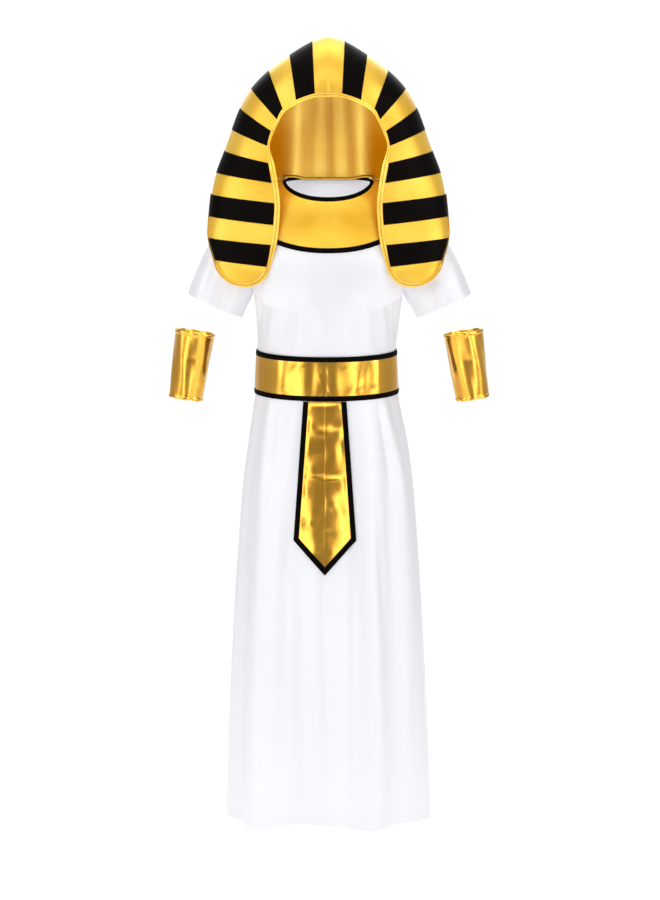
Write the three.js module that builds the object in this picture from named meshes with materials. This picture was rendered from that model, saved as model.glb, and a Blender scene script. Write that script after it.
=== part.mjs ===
import * as THREE from "three";

// Pharaoh costume for a child of about 140 cm, filled out as when it is worn but empty.
// Millimetres, +Z up, the front faces -Y. The origin is the centre of the neck at shoulder level.

// Cloth and seams
const ROBE_CLOTH = 1.6;
const SLEEVE_CLOTH = 1.6;
const HOOD_CLOTH = 2.0;
const LINING_CLOTH = 1.0;
const SEAM = 0.3;
const COLUMNS = 24;
const FRONT_MIDDLE = COLUMNS / 2;

// Armhole: an ellipse from the shoulder tip down to the armpit
const SHOULDER_TIP = { x: 157, z: -38 };
const ARMPIT = { x: 123.5, z: -173 };
const ARMHOLE_DEPTH = 52;
const ARMHOLE_STEPS = 9;

// Sleeve
const SLEEVE_HEM_OUTER = { x: 232, z: -175 };
const SLEEVE_HEM_INNER = { x: 142, z: -214.5 };
const SLEEVE_CROWN = { x: 197, z: -76 };
const SLEEVE_HEM_DEPTH = 45;
const SLEEVE_ROWS = [0, 0.14, 0.3, 0.46, 0.64, 0.82, 1];
const SLEEVE_COLUMNS = 18;
const SLEEVE_SPREAD = { left: 0, right: 5 };

// Wrist cuffs: straight tapered tubes that stand beside the hips
const CUFF_LENGTH = 113;
const CUFF_TOP_RADIUS = 32.8;
const CUFF_BOTTOM_RADIUS = 27.2;
const CUFF_TILT_DEG = 8.3;
const CUFF_CENTRE = { left: [-227.5, -294.8], right: [233, -294.9] };
const CUFF_CLOTH = 1.8;
const CUFF_HEM = 5;

// Tab that hangs from the belt
const TAB_X = -4.5;
const TAB_TOP = -346.4;
const TAB_CORNER = -574;
const TAB_TIP = -630.5;
const TAB_TOP_HALF = 35.6;
const TAB_CORNER_HALF = 51.7;
const TAB_BORDER = 8.6;
const TAB_CLOTH = 1.4;
const TAB_BORDER_CLOTH = 2.4;
const TAB_LIFT = 0.8;

// Hood
const HOOD_X = 1.5;
const HOOD_FRONT_CELLS = 8;
const HOOD_BACK_CELLS = 9;
const HEM_OVER_NECK = 17;
const HEM_BESIDE_NECK = 13;
const HOOD_BACK_LAST = 8;
const BAND_CLOTH = 0.8;

// Rows of the robe from the neck to the armholes: side x, side z, front depth, front z, back depth, back z
const YOKE_ROWS = [
  { x: 70, z: 11.5, front: -50, frontZ: -13, back: 40, backZ: 18 },
  { x: 75, z: 9, front: -54, frontZ: -20, back: 44, backZ: 12.5 },
  { x: 98, z: -1, front: -67, frontZ: -45, back: 62, backZ: -12 },
  { x: 119, z: -14.2, front: -77, frontZ: -70, back: 75, backZ: -40 },
  { x: 139, z: -26.7, front: -84, frontZ: -94, back: 82, backZ: -68 },
  { x: 145, z: -30.5, front: -86, frontZ: -102, back: 84, backZ: -77 },
  { x: SHOULDER_TIP.x, z: SHOULDER_TIP.z, front: -88, frontZ: -113, back: 87, backZ: -90 },
];
const ROW_NECK = 0;
const ROW_COLLAR_TOP = 1;
const ROW_COLLAR_EDGE = 4;
const ROW_COLLAR_END = 5;

// Front and back middle of the rows that end on the armhole, from its top to the armpit
const ARM_ROWS = [
  { front: -88.5, frontZ: -119, back: 88, backZ: -98 },
  { front: -89, frontZ: -126, back: 89, backZ: -107 },
  { front: -89.5, frontZ: -134, back: 90, backZ: -117 },
  { front: -90, frontZ: -143, back: 90, backZ: -128 },
  { front: -90.5, frontZ: -153, back: 90, backZ: -140 },
  { front: -90.5, frontZ: -164, back: 89, backZ: -153 },
  { front: -90.5, frontZ: -175, back: 88, backZ: -166 },
  { front: -90, frontZ: -187, back: 87, backZ: -180 },
  { front: -89.5, frontZ: -199, back: 86, backZ: -194 },
];

// Rings of the robe below the armpit: half width, its middle, side height, depths, and how far the front dips
const BODY_ROWS = [
  { x: 120, mid: 1.2, z: -202, front: -88, back: 84, dip: 18 },
  { x: 116.5, mid: 0, z: -236, front: -86, back: 82, dip: 11 },
  { x: 114.5, mid: -1.6, z: -268, front: -85, back: 80, dip: 5 },
  { x: 115, mid: -1.6, z: -276.6, front: -85, back: 80, dip: 5 },
  { x: 116.2, mid: -1.6, z: -304, front: -86, back: 81.5, dip: 5 },
  { x: 117.6, mid: -1.6, z: -331.4, front: -87.5, back: 83.5, dip: 6 },
  { x: 118, mid: -1.6, z: -340, front: -88, back: 84, dip: 6 },
  { x: 123, mid: -1, z: -372, front: -92, back: 88, dip: 5 },
  { x: 130.7, mid: 0.6, z: -414, front: -96, back: 92, dip: 3 },
  { x: 137, mid: 0.8, z: -456, front: -100, back: 96.5, dip: 1 },
  { x: 142.5, mid: 0.8, z: -505, front: -104.5, back: 101, dip: 0 },
  { x: 148, mid: 1.2, z: -581, front: -110, back: 107, dip: 0 },
  { x: 152.5, mid: 1.4, z: -650, front: -114.5, back: 112, dip: 0 },
  { x: 156.5, mid: 1.7, z: -720, front: -118.5, back: 116, dip: 0 },
  { x: 160.5, mid: 2, z: -790, front: -122, back: 120, dip: 0 },
  { x: 164, mid: 2.4, z: -858, front: -125, back: 123.5, dip: 0 },
  { x: 167, mid: 2.8, z: -925, front: -128, back: 126.5, dip: 0 },
  { x: 169.5, mid: 2.7, z: -990, front: -130.5, back: 129, dip: 0 },
  { x: 171.5, mid: 2.5, z: -1050, front: -132.5, back: 131, dip: 0 },
];
const ROW_ARMPIT = YOKE_ROWS.length + ARM_ROWS.length - 1;
const ROW_BELT_TOP = ROW_ARMPIT + 3;
const ROW_BELT_TOP_EDGE = ROW_BELT_TOP + 1;
const ROW_WAIST = ROW_BELT_TOP + 2;
const ROW_BELT_BOTTOM_EDGE = ROW_BELT_TOP + 3;
const ROW_BELT_BOTTOM = ROW_BELT_TOP + 4;

// Folds of the skirt: place round the body from its right side over the front, half width,
// height of the ridge or depth of the trough at the full row, where it begins and is full
const FOLDS = [
  { at: 20, wide: 9, high: 5.5, from: -350, full: -960 },
  { at: 49, wide: 11, high: -6.5, from: -520, full: -1040 },
  { at: 65, wide: 8, high: 5.5, from: -480, full: -1000 },
  { at: 80, wide: 7, high: -5, from: -610, full: -1040 },
  { at: 94, wide: 9, high: 5, from: -560, full: -1040 },
  { at: 114, wide: 10, high: -7, from: -500, full: -980 },
  { at: 135, wide: 10, high: 6, from: -350, full: -1000 },
  { at: 152, wide: 8, high: -5, from: -400, full: -1000 },
  { at: 168, wide: 8, high: 4, from: -350, full: -900 },
  { at: 194, wide: 9, high: -5, from: -380, full: -960 },
  { at: 212, wide: 10, high: 6, from: -360, full: -1000 },
  { at: 236, wide: 11, high: -6, from: -460, full: -1040 },
  { at: 257, wide: 9, high: 6, from: -400, full: -980 },
  { at: 277, wide: 9, high: -5.5, from: -520, full: -1040 },
  { at: 297, wide: 10, high: 6, from: -360, full: -1000 },
  { at: 320, wide: 10, high: -6, from: -420, full: -1020 },
  { at: 341, wide: 9, high: 5, from: -350, full: -960 },
];

// Small gathers that hang from the belt's lower edge and die out above mid thigh
const GATHERS = [
  { at: 12, wide: 6, high: 2.6 },
  { at: 27, wide: 6, high: -2.4 },
  { at: 38, wide: 6, high: 2.2 },
  { at: 141, wide: 6, high: 2.2 },
  { at: 154, wide: 6, high: -2.6 },
  { at: 167, wide: 6, high: 2.6 },
  { at: 205, wide: 7, high: -2.2 },
  { at: 226, wide: 7, high: 2.4 },
  { at: 252, wide: 8, high: -2 },
  { at: 288, wide: 8, high: 2.2 },
  { at: 312, wide: 7, high: -2.2 },
  { at: 334, wide: 7, high: 2.4 },
];

// How far the hem hangs below or above its ring
const HEM_LINE = [
  { at: 68, wide: 15, low: -7 },
  { at: 100, wide: 14, low: 6 },
  { at: 130, wide: 16, low: -9 },
  { at: 172, wide: 12, low: 3 },
  { at: 212, wide: 16, low: -4 },
  { at: 257, wide: 14, low: -3 },
  { at: 300, wide: 16, low: -5 },
];

// Stations of the hood from the crown seam round the face to the lappet tip.
// Each even pair after the first holds a black band: face edge, outer edge and middle of the back.
const HOOD = [
  { face: [0, -88, 161], outer: [0, -25, 250], back: [0, -25, 250] },
  { face: [22.3, -87, 159.5], outer: [26.4, -22, 241.2], back: [0, 10, 243] },
  { face: [53, -83, 148.5], outer: [63.5, -15, 218.9], back: [0, 42, 222] },
  { face: [74.9, -77, 134], outer: [98, -8, 193.1], back: [0, 66, 192] },
  { face: [84.3, -71, 116.4], outer: [126.9, -2, 163.2], back: [0, 79, 158] },
  { face: [94.1, -65, 97.1], outer: [145.4, 3, 131.1], back: [0, 82, 124] },
  { face: [100.2, -61, 72.3], outer: [159.2, 6, 95.8], back: [0, 76, 88] },
  { face: [98.8, -59, 44], outer: [171.6, 7, 60.5], back: [0, 59, 50] },
  { face: [93.1, -60, 11.5], outer: [184.9, 4, 24.7], back: [0, 31, 11] },
  { face: [88.9, -64, -21.3], outer: [192.6, -8, -10.3] },
  { face: [90.5, -71, -57], outer: [195.8, -24, -45.5] },
  { face: [94.7, -78, -89], outer: [196.4, -41, -79.8] },
  { face: [101.7, -84, -124.5], outer: [186, -57, -115.4] },
  { face: [107, -86, -132.4], outer: [180.5, -67, -128.7] },
  { face: [116, -87, -144.3], outer: [169, -76, -141.6] },
  { face: [131, -87, -150.8], outer: [152, -83, -150.3] },
];
const BANDS = [1, 3, 5, 7, 9, 11];

// Free edge of the rolled binding at the face, at each station
const FACE_BINDING = [
  [0, -83, 153.8],
  [22.3, -82, 153.1],
  [49.5, -77, 143.2],
  [71, -71.5, 129.3],
  [81.7, -64.5, 112.7],
  [90.8, -58.5, 92.6],
  [97, -54, 70.9],
  [89.1, -58, 42.6],
  [83.3, -61, 10],
  [79.7, -66, -22.4],
  [81.3, -73, -58.7],
  [85.3, -80, -88.4],
  [94.9, -86, -121.4],
  [100.5, -88, -137.2],
  [111.5, -88.5, -150.1],
  [129.5, -88, -157.2],
];

// Free edge of the same binding up the outer side of the lappet, from the tip to station 9
const OUTER_BINDING = [
  { station: 15, point: [153.5, -84, -155.2] },
  { station: 14, point: [172.5, -76, -145.2] },
  { station: 13, point: [184.3, -67, -130.8] },
  { station: 12, point: [189.2, -57, -116.6] },
  { station: 11, point: [199, -41, -80] },
  { station: 10, point: [198.2, -24, -45.5] },
  { station: 9, point: [194.9, -8, -10.4] },
];

const WHITE = 0xf4f3f9;
const GOLD_SATIN = 0xfad04f;
const GOLD_LINING = 0xdfa01c;
const BLACK = 0x1a1410;
const GOLD_LAME = 0xe8b83c;

const root = new THREE.Group();
root.name = "egyptian_costume";

const { lerp, smoothstep, degToRad } = THREE.MathUtils;
const vec = (x, y, z) => new THREE.Vector3(x, y, z);

function bell(angle, fold) {
  const away = (((angle - fold.at) % 360) + 540) % 360 - 180;
  return Math.exp(-((away / fold.wide) ** 2));
}

// Normals of a grid of points by differences; "towards" tells which side is out
function gridNormals(points, closed, towards, fix) {
  const rows = points.length;
  const cols = points[0].length;
  const normals = [];
  let votes = 0;
  for (let i = 0; i < rows; i++) {
    const row = [];
    for (let j = 0; j < cols; j++) {
      const before = closed ? points[i][(j + cols - 1) % cols] : points[i][Math.max(0, j - 1)];
      const after = closed ? points[i][(j + 1) % cols] : points[i][Math.min(cols - 1, j + 1)];
      const above = points[Math.max(0, i - 1)][j];
      const below = points[Math.min(rows - 1, i + 1)][j];
      const across = after.clone().sub(before);
      const down = below.clone().sub(above);
      const normal = across.cross(down);
      normal.normalize();
      votes += normal.dot(towards(points[i][j]));
      row.push(normal);
    }
    normals.push(row);
  }
  const sign = votes < 0 ? -1 : 1;
  normals.forEach((row, i) =>
    row.forEach((normal, j) => {
      normal.multiplyScalar(sign);
      if (fix) fix(normal, i, j);
      normal.normalize();
    }),
  );
  return normals;
}

// A closed wall between two offsets from a grid of points along its normals
function wall(points, normals, inner, outer, closed = false, used = () => true) {
  const positions = [];
  const keys = new Map();
  const place = (p, n, offset) => {
    const q = p.clone().addScaledVector(n, offset);
    const key = [q.x, q.y, q.z].map((value) => Math.round(value * 2000)).join(",");
    if (!keys.has(key)) {
      keys.set(key, positions.length / 3);
      positions.push(q.x, q.y, q.z);
    }
    return keys.get(key);
  };
  const rows = points.length;
  const cols = points[0].length;
  const over = points.map((row, i) => row.map((p, j) => place(p, normals[i][j], outer)));
  const under = points.map((row, i) => row.map((p, j) => place(p, normals[i][j], inner)));
  const triangles = [];
  const edges = new Map();
  const addSurface = (a, b, c) => {
    const top = [a, b, c].map(([i, j]) => over[i][j]);
    const bottom = [a, b, c].map(([i, j]) => under[i][j]);
    if (new Set(top).size < 3) return;
    triangles.push(top, [bottom[0], bottom[2], bottom[1]]);
    for (let k = 0; k < 3; k++) {
      const m = (k + 1) % 3;
      edges.set(top[k] + "-" + top[m], [top[k], top[m], bottom[k], bottom[m]]);
    }
  };
  for (let i = 0; i + 1 < rows; i++) {
    for (let j = 0; j + (closed ? 0 : 1) < cols; j++) {
      if (!used(i, j)) continue;
      const m = (j + 1) % cols;
      const flat = points[i][j].distanceTo(points[i + 1][m]) <= points[i][m].distanceTo(points[i + 1][j]);
      if (flat) {
        addSurface([i, j], [i + 1, j], [i + 1, m]);
        addSurface([i, j], [i + 1, m], [i, m]);
      } else {
        addSurface([i, j], [i + 1, j], [i, m]);
        addSurface([i, m], [i + 1, j], [i + 1, m]);
      }
    }
  }
  for (const [a, b, c, d] of edges.values()) {
    if (edges.has(b + "-" + a)) continue;
    triangles.push([b, a, c], [b, c, d]);
  }
  let volume = 0;
  const corner = (k) => vec(positions[3 * k], positions[3 * k + 1], positions[3 * k + 2]);
  for (const [a, b, c] of triangles) volume += corner(a).dot(corner(b).cross(corner(c)));
  const index = triangles.flatMap(([a, b, c]) => (volume < 0 ? [a, c, b] : [a, b, c]));
  const geometry = new THREE.BufferGeometry();
  geometry.setAttribute("position", new THREE.BufferAttribute(new Float32Array(positions), 3));
  geometry.setIndex(index);
  geometry.computeVertexNormals();
  return geometry;
}

function addPiece(name, geometry, colour) {
  const mesh = new THREE.Mesh(geometry, new THREE.MeshStandardMaterial({ color: colour, roughness: 0.6 }));
  mesh.name = name;
  root.add(mesh);
  return mesh;
}

// Robe

function skirtFold(angle, z) {
  let sum = 0;
  for (const fold of FOLDS) {
    sum += fold.high * bell(angle, fold) * smoothstep(-z, -fold.from, -fold.full);
  }
  const gathered = smoothstep(-z, 338, 362) * (1 - smoothstep(-z, 375, 520));
  for (const fold of GATHERS) sum += fold.high * bell(angle, fold) * gathered;
  return sum;
}

function hemDrop(angle, z) {
  let sum = 0;
  for (const wave of HEM_LINE) sum += wave.low * bell(angle, wave);
  return sum * smoothstep(-z, 700, 1050);
}

const armLength = Math.hypot(SHOULDER_TIP.x - ARMPIT.x, SHOULDER_TIP.z - ARMPIT.z);
const armUp = {
  x: (SHOULDER_TIP.x - ARMPIT.x) / armLength,
  z: (SHOULDER_TIP.z - ARMPIT.z) / armLength,
};

function robeRow(index, isFront) {
  const sign = isFront ? -1 : 1;
  let side;
  let middle;
  let mid = 0.8;
  let round = 2.25;
  if (index < YOKE_ROWS.length) {
    const row = YOKE_ROWS[index];
    side = vec(row.x, 0, row.z);
    middle = isFront ? [row.front, row.frontZ] : [row.back, row.backZ];
  } else if (index <= ROW_ARMPIT) {
    const step = index - YOKE_ROWS.length + 1;
    const row = ARM_ROWS[step - 1];
    const turn = (Math.PI * step) / ARMHOLE_STEPS;
    const up = (armLength / 2) * Math.cos(turn);
    side = vec(
      (SHOULDER_TIP.x + ARMPIT.x) / 2 + up * armUp.x,
      sign * ARMHOLE_DEPTH * Math.sin(turn),
      (SHOULDER_TIP.z + ARMPIT.z) / 2 + up * armUp.z,
    );
    middle = isFront ? [row.front, row.frontZ] : [row.back, row.backZ];
  } else {
    const row = BODY_ROWS[index - ROW_ARMPIT - 1];
    side = vec(row.x, 0, row.z);
    middle = isFront ? [row.front, row.z - row.dip] : [row.back, row.z - row.dip * 0.6];
    mid = row.mid;
    round = 2.15;
  }
  const points = [];
  for (let j = 0; j <= COLUMNS; j++) {
    const turn = (Math.PI * j) / COLUMNS;
    const across = Math.cos(turn);
    const deep = Math.sin(turn);
    const bend = 2 / round;
    const x = side.x * Math.sign(across) * Math.abs(across) ** bend;
    const y = side.y + (middle[0] - side.y) * Math.abs(deep) ** bend;
    let z = side.z + (middle[1] - side.z) * Math.abs(deep) ** 1.2;
    const angle = isFront ? (180 * j) / COLUMNS : 360 - (180 * j) / COLUMNS;
    const out = skirtFold(angle, z);
    z += hemDrop(angle, z);
    const length = Math.hypot(x, y) || 1;
    const inside = j > 0 && j < COLUMNS ? 0.9 : 0;
    const past = (Math.abs(x) - ARMPIT.x) * armUp.z - (z - ARMPIT.z) * armUp.x + inside;
    const back = z > ARMPIT.z - 1 && past > 0 ? past : 0;
    const px = x - Math.sign(x) * back * armUp.z;
    points.push(vec(mid + px + (out * px) / length, y + (out * y) / length, z + back * armUp.x));
  }
  return points;
}

const ROW_COUNT = ROW_ARMPIT + 1 + BODY_ROWS.length;

function robePanel(isFront) {
  const points = [];
  for (let i = 0; i < ROW_COUNT; i++) points.push(robeRow(i, isFront));
  const normals = gridNormals(
    points,
    false,
    (p) => vec(p.x, p.y, 0),
    (normal, i, j) => {
      if (j !== 0 && j !== COLUMNS) return;
      if (i < ROW_ARMPIT && i >= YOKE_ROWS.length) {
        const across = vec(j === 0 ? armUp.z : -armUp.z, 0, -armUp.x);
        normal.addScaledVector(across, -normal.dot(across));
      } else {
        normal.y = 0;
      }
    },
  );
  return { points, normals };
}

const ROBE = { front: robePanel(true), back: robePanel(false) };

// Part of a panel between two rows, which may fall between the rows of the table
function rowsBetween(panel, start, end) {
  const stops = [start];
  for (let i = Math.floor(start) + 1; i < end; i++) stops.push(i);
  stops.push(end);
  const pick = (grid, f, j) => {
    const i = Math.min(Math.floor(f), ROW_COUNT - 2);
    return grid[i][j].clone().lerp(grid[i + 1][j], f - i);
  };
  const take = (grid) => stops.map((f) => grid[0].map((unused, j) => pick(grid, f, j)));
  return { points: take(panel.points), normals: take(panel.normals) };
}

// Moves the side edges of a panel off the seam
function offSeam(points, isFront) {
  const away = (isFront ? -SEAM : SEAM) / 2;
  for (const row of points) {
    for (const j of [0, COLUMNS]) {
      if (Math.abs(row[j].y) < 0.01) row[j].y = away;
    }
  }
}

const NEAR = 0.04;
// Half the gap of the waist seam, as a share of the row above and below it
const NEAR_WAIST = 0.006;
for (const isFront of [true, false]) {
  const panel = isFront ? ROBE.front : ROBE.back;
  const bodice = rowsBetween(panel, ROW_COLLAR_TOP + NEAR, ROW_WAIST - NEAR_WAIST);
  const skirt = rowsBetween(panel, ROW_WAIST + NEAR_WAIST, ROW_COUNT - 1);
  const end = isFront ? "front" : "back";
  for (const [name, part] of [["bodice_" + end, bodice], ["skirt_" + end, skirt]]) {
    offSeam(part.points, isFront);
    addPiece(name, wall(part.points, part.normals, -ROBE_CLOTH, 0), WHITE);
  }
}

// What goes round half the body, from the front middle over the side to the back middle
function halfRound(start, end, side, inner, outer, gap = SEAM / 2) {
  const front = rowsBetween(ROBE.front, start, end);
  const back = rowsBetween(ROBE.back, start, end);
  const join = (a, b) =>
    a.map((row, i) => {
      const first = side === "right" ? row.slice(0, FRONT_MIDDLE + 1).reverse() : row.slice(FRONT_MIDDLE);
      const other = b[i];
      const second =
        side === "right" ? other.slice(1, FRONT_MIDDLE + 1) : other.slice(FRONT_MIDDLE, COLUMNS).reverse();
      return [...first, ...second].map((p) => p.clone());
    });
  const points = join(front.points, back.points);
  const normals = join(front.normals, back.normals);
  const away = side === "right" ? gap : -gap;
  const last = points[0].length - 1;
  points.forEach((row, i) => {
    for (const j of [0, last]) {
      row[j].x += away;
      normals[i][j].x = 0;
      normals[i][j].normalize();
    }
  });
  return wall(points, normals, inner, outer);
}

// Neck binding: one ring folded over the neck edge
{
  const front = rowsBetween(ROBE.front, ROW_NECK, ROW_COLLAR_TOP - NEAR);
  const back = rowsBetween(ROBE.back, ROW_NECK, ROW_COLLAR_TOP - NEAR);
  const ring = (a, b) => a.map((row, i) => [...row, ...b[i].slice(1, COLUMNS).reverse()]);
  const geometry = wall(
    ring(front.points, back.points),
    ring(front.normals, back.normals),
    -ROBE_CLOTH - 0.5,
    2.2,
    true,
  );
  addPiece("neck_binding", geometry, BLACK);
}

for (const side of ["left", "right"]) {
  const collar = halfRound(ROW_COLLAR_TOP + NEAR, ROW_COLLAR_EDGE - NEAR, side, SEAM, 1.6);
  addPiece("collar_" + side, collar, GOLD_SATIN);
  const edge = halfRound(ROW_COLLAR_EDGE + NEAR, ROW_COLLAR_END, side, SEAM, 2.4);
  addPiece("collar_edge_" + side, edge, BLACK);
  const belt = halfRound(ROW_BELT_TOP_EDGE + NEAR / 2, ROW_BELT_BOTTOM_EDGE - NEAR / 2, side, SEAM, 2);
  addPiece("belt_" + side, belt, GOLD_LAME);
  const top = halfRound(ROW_BELT_TOP, ROW_BELT_TOP_EDGE - NEAR / 2, side, SEAM, 2.7);
  addPiece("belt_top_edge_" + side, top, BLACK);
  const bottom = halfRound(ROW_BELT_BOTTOM_EDGE + NEAR / 2, ROW_BELT_BOTTOM, side, SEAM, 2.7);
  addPiece("belt_bottom_edge_" + side, bottom, BLACK);
}

// Sleeves

function bezier(a, b, c, t) {
  return lerp(lerp(a, b, t), lerp(b, c, t), t);
}

for (const side of ["left", "right"]) {
  const sign = side === "left" ? -1 : 1;
  const spread = SLEEVE_SPREAD[side];
  const points = SLEEVE_ROWS.map((t) => {
    const outer = {
      x: bezier(SHOULDER_TIP.x, SLEEVE_CROWN.x + spread / 2, SLEEVE_HEM_OUTER.x + spread, t),
      z: bezier(SHOULDER_TIP.z, SLEEVE_CROWN.z, SLEEVE_HEM_OUTER.z, t),
    };
    const inner = {
      x: lerp(ARMPIT.x, SLEEVE_HEM_INNER.x + spread, t),
      z: lerp(ARMPIT.z, SLEEVE_HEM_INNER.z, t),
    };
    const half = { x: (outer.x - inner.x) / 2, z: (outer.z - inner.z) / 2 };
    const deep = lerp(ARMHOLE_DEPTH, SLEEVE_HEM_DEPTH, t);
    const row = [];
    for (let j = 0; j < SLEEVE_COLUMNS; j++) {
      const turn = (2 * Math.PI * j) / SLEEVE_COLUMNS;
      const ripple = 1 + 0.035 * t * Math.sin(3 * turn + 0.7);
      const x = (inner.x + outer.x) / 2 + half.x * Math.cos(turn);
      const z = (inner.z + outer.z) / 2 + half.z * Math.cos(turn);
      const off = t === 0 ? SEAM + 0.1 : 0;
      const y = -deep * Math.sin(turn) * ripple;
      row.push(vec(0.8 + sign * (x + off * armUp.z), y, z - off * armUp.x));
    }
    return row;
  });
  const normals = gridNormals(
    points,
    true,
    (p) => vec(0, p.y, 0),
    (normal, i) => {
      if (i > 0) return;
      const across = vec(sign * armUp.z, 0, -armUp.x);
      normal.addScaledVector(across, -normal.dot(across));
    },
  );
  addPiece("sleeve_" + side, wall(points, normals, -SLEEVE_CLOTH, 0, true), WHITE);
}

// Tab

const skirtFront = root.getObjectByName("skirt_front");
skirtFront.updateMatrixWorld(true);
const ray = new THREE.Raycaster();

// Front of the skirt at a place, over a little width so that the tab bridges small folds
function skirtFrontY(x, z) {
  let nearest = Infinity;
  for (const aside of [-6, 0, 6]) {
    ray.set(vec(x + aside, -400, z), vec(0, 1, 0));
    const hits = ray.intersectObject(skirtFront);
    if (hits.length) nearest = Math.min(nearest, hits[0].point.y);
  }
  return nearest;
}

function tabHalf(z) {
  return lerp(TAB_TOP_HALF, TAB_CORNER_HALF, (z - TAB_TOP) / (TAB_CORNER - TAB_TOP));
}

function tabPoint(sign, x, z) {
  return vec(TAB_X + sign * x, skirtFrontY(TAB_X + sign * x, z) - TAB_LIFT, z);
}

const TAB_INNER_CORNER = TAB_CORNER + 4;
const TAB_INNER_TIP = TAB_TIP + 14.5;
for (const side of ["left", "right"]) {
  const sign = side === "left" ? -1 : 1;
  const points = [];
  for (let i = 0; i <= 10; i++) {
    const row = [];
    for (let j = 0; j <= 3; j++) {
      const s = j / 3;
      const end = lerp(TAB_INNER_TIP, TAB_INNER_CORNER, s);
      const z = lerp(TAB_TOP, end, i / 10);
      const half = Math.min(TAB_CORNER_HALF, tabHalf(z));
      row.push(tabPoint(sign, SEAM / 2 + s * (half - TAB_BORDER - 0.4), z));
    }
    points.push(row);
  }
  const flat = points.map((row) => row.map(() => vec(0, -1, 0)));
  addPiece("tab_" + side, wall(points, flat, 0, TAB_CLOTH), GOLD_LAME);
  const border = [];
  for (let i = 0; i <= 8; i++) {
    const z = lerp(TAB_TOP, TAB_INNER_CORNER, i / 8);
    const outerZ = lerp(TAB_TOP, TAB_CORNER, i / 8);
    border.push([tabPoint(sign, tabHalf(z) - TAB_BORDER, z), tabPoint(sign, tabHalf(outerZ), outerZ)]);
  }
  const innerX = tabHalf(TAB_INNER_CORNER) - TAB_BORDER;
  for (let i = 1; i <= 4; i++) {
    const x = lerp(innerX, SEAM / 2, i / 4);
    const z = lerp(TAB_INNER_CORNER, TAB_INNER_TIP - 0.6, i / 4);
    const outerX = lerp(TAB_CORNER_HALF, SEAM / 2, i / 4);
    const outerZ = lerp(TAB_CORNER, TAB_TIP, i / 4);
    border.push([tabPoint(sign, x, z), tabPoint(sign, outerX, outerZ)]);
  }
  const out = border.map((row) => row.map(() => vec(0, -1, 0)));
  addPiece("tab_border_" + side, wall(border, out, 0, TAB_BORDER_CLOTH), BLACK);
}

// Hood

function hoodRow(station, sign) {
  const { face, outer, back } = HOOD[station];
  const row = [];
  for (let j = 0; j <= HOOD_FRONT_CELLS; j++) {
    const turn = ((Math.PI / 2) * j) / HOOD_FRONT_CELLS;
    const out = Math.sin(turn);
    row.push(
      vec(
        lerp(face[0], outer[0], out),
        lerp(outer[1], face[1], Math.cos(turn)),
        lerp(face[2], outer[2], out),
      ),
    );
  }
  if (back) {
    for (let j = 1; j <= HOOD_BACK_CELLS; j++) {
      const turn = ((Math.PI / 2) * j) / HOOD_BACK_CELLS;
      const x = outer[0] * Math.cos(turn);
      let y = lerp(outer[1], back[1], Math.sin(turn));
      let z = lerp(back[2], outer[2], Math.cos(turn));
      if (station === HOOD_BACK_LAST) {
        const over = lerp(HEM_OVER_NECK, HEM_BESIDE_NECK, smoothstep(x, 74, 84));
        z = lerp(back[2], over, smoothstep(x, 34, 59)) + (outer[2] - HEM_BESIDE_NECK) * smoothstep(x, 95, 185);
        y -= 9 * smoothstep(x, 25, 58) * (1 - smoothstep(x, 80, 140));
      }
      row.push(vec(x, y, z));
    }
  } else {
    for (let j = 1; j <= HOOD_BACK_CELLS; j++) row.push(row[HOOD_FRONT_CELLS].clone());
  }
  return row.map((p) => {
    const x = Math.max(p.x, SEAM / 2);
    return vec(HOOD_X + sign * x, p.y, p.z);
  });
}

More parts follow.
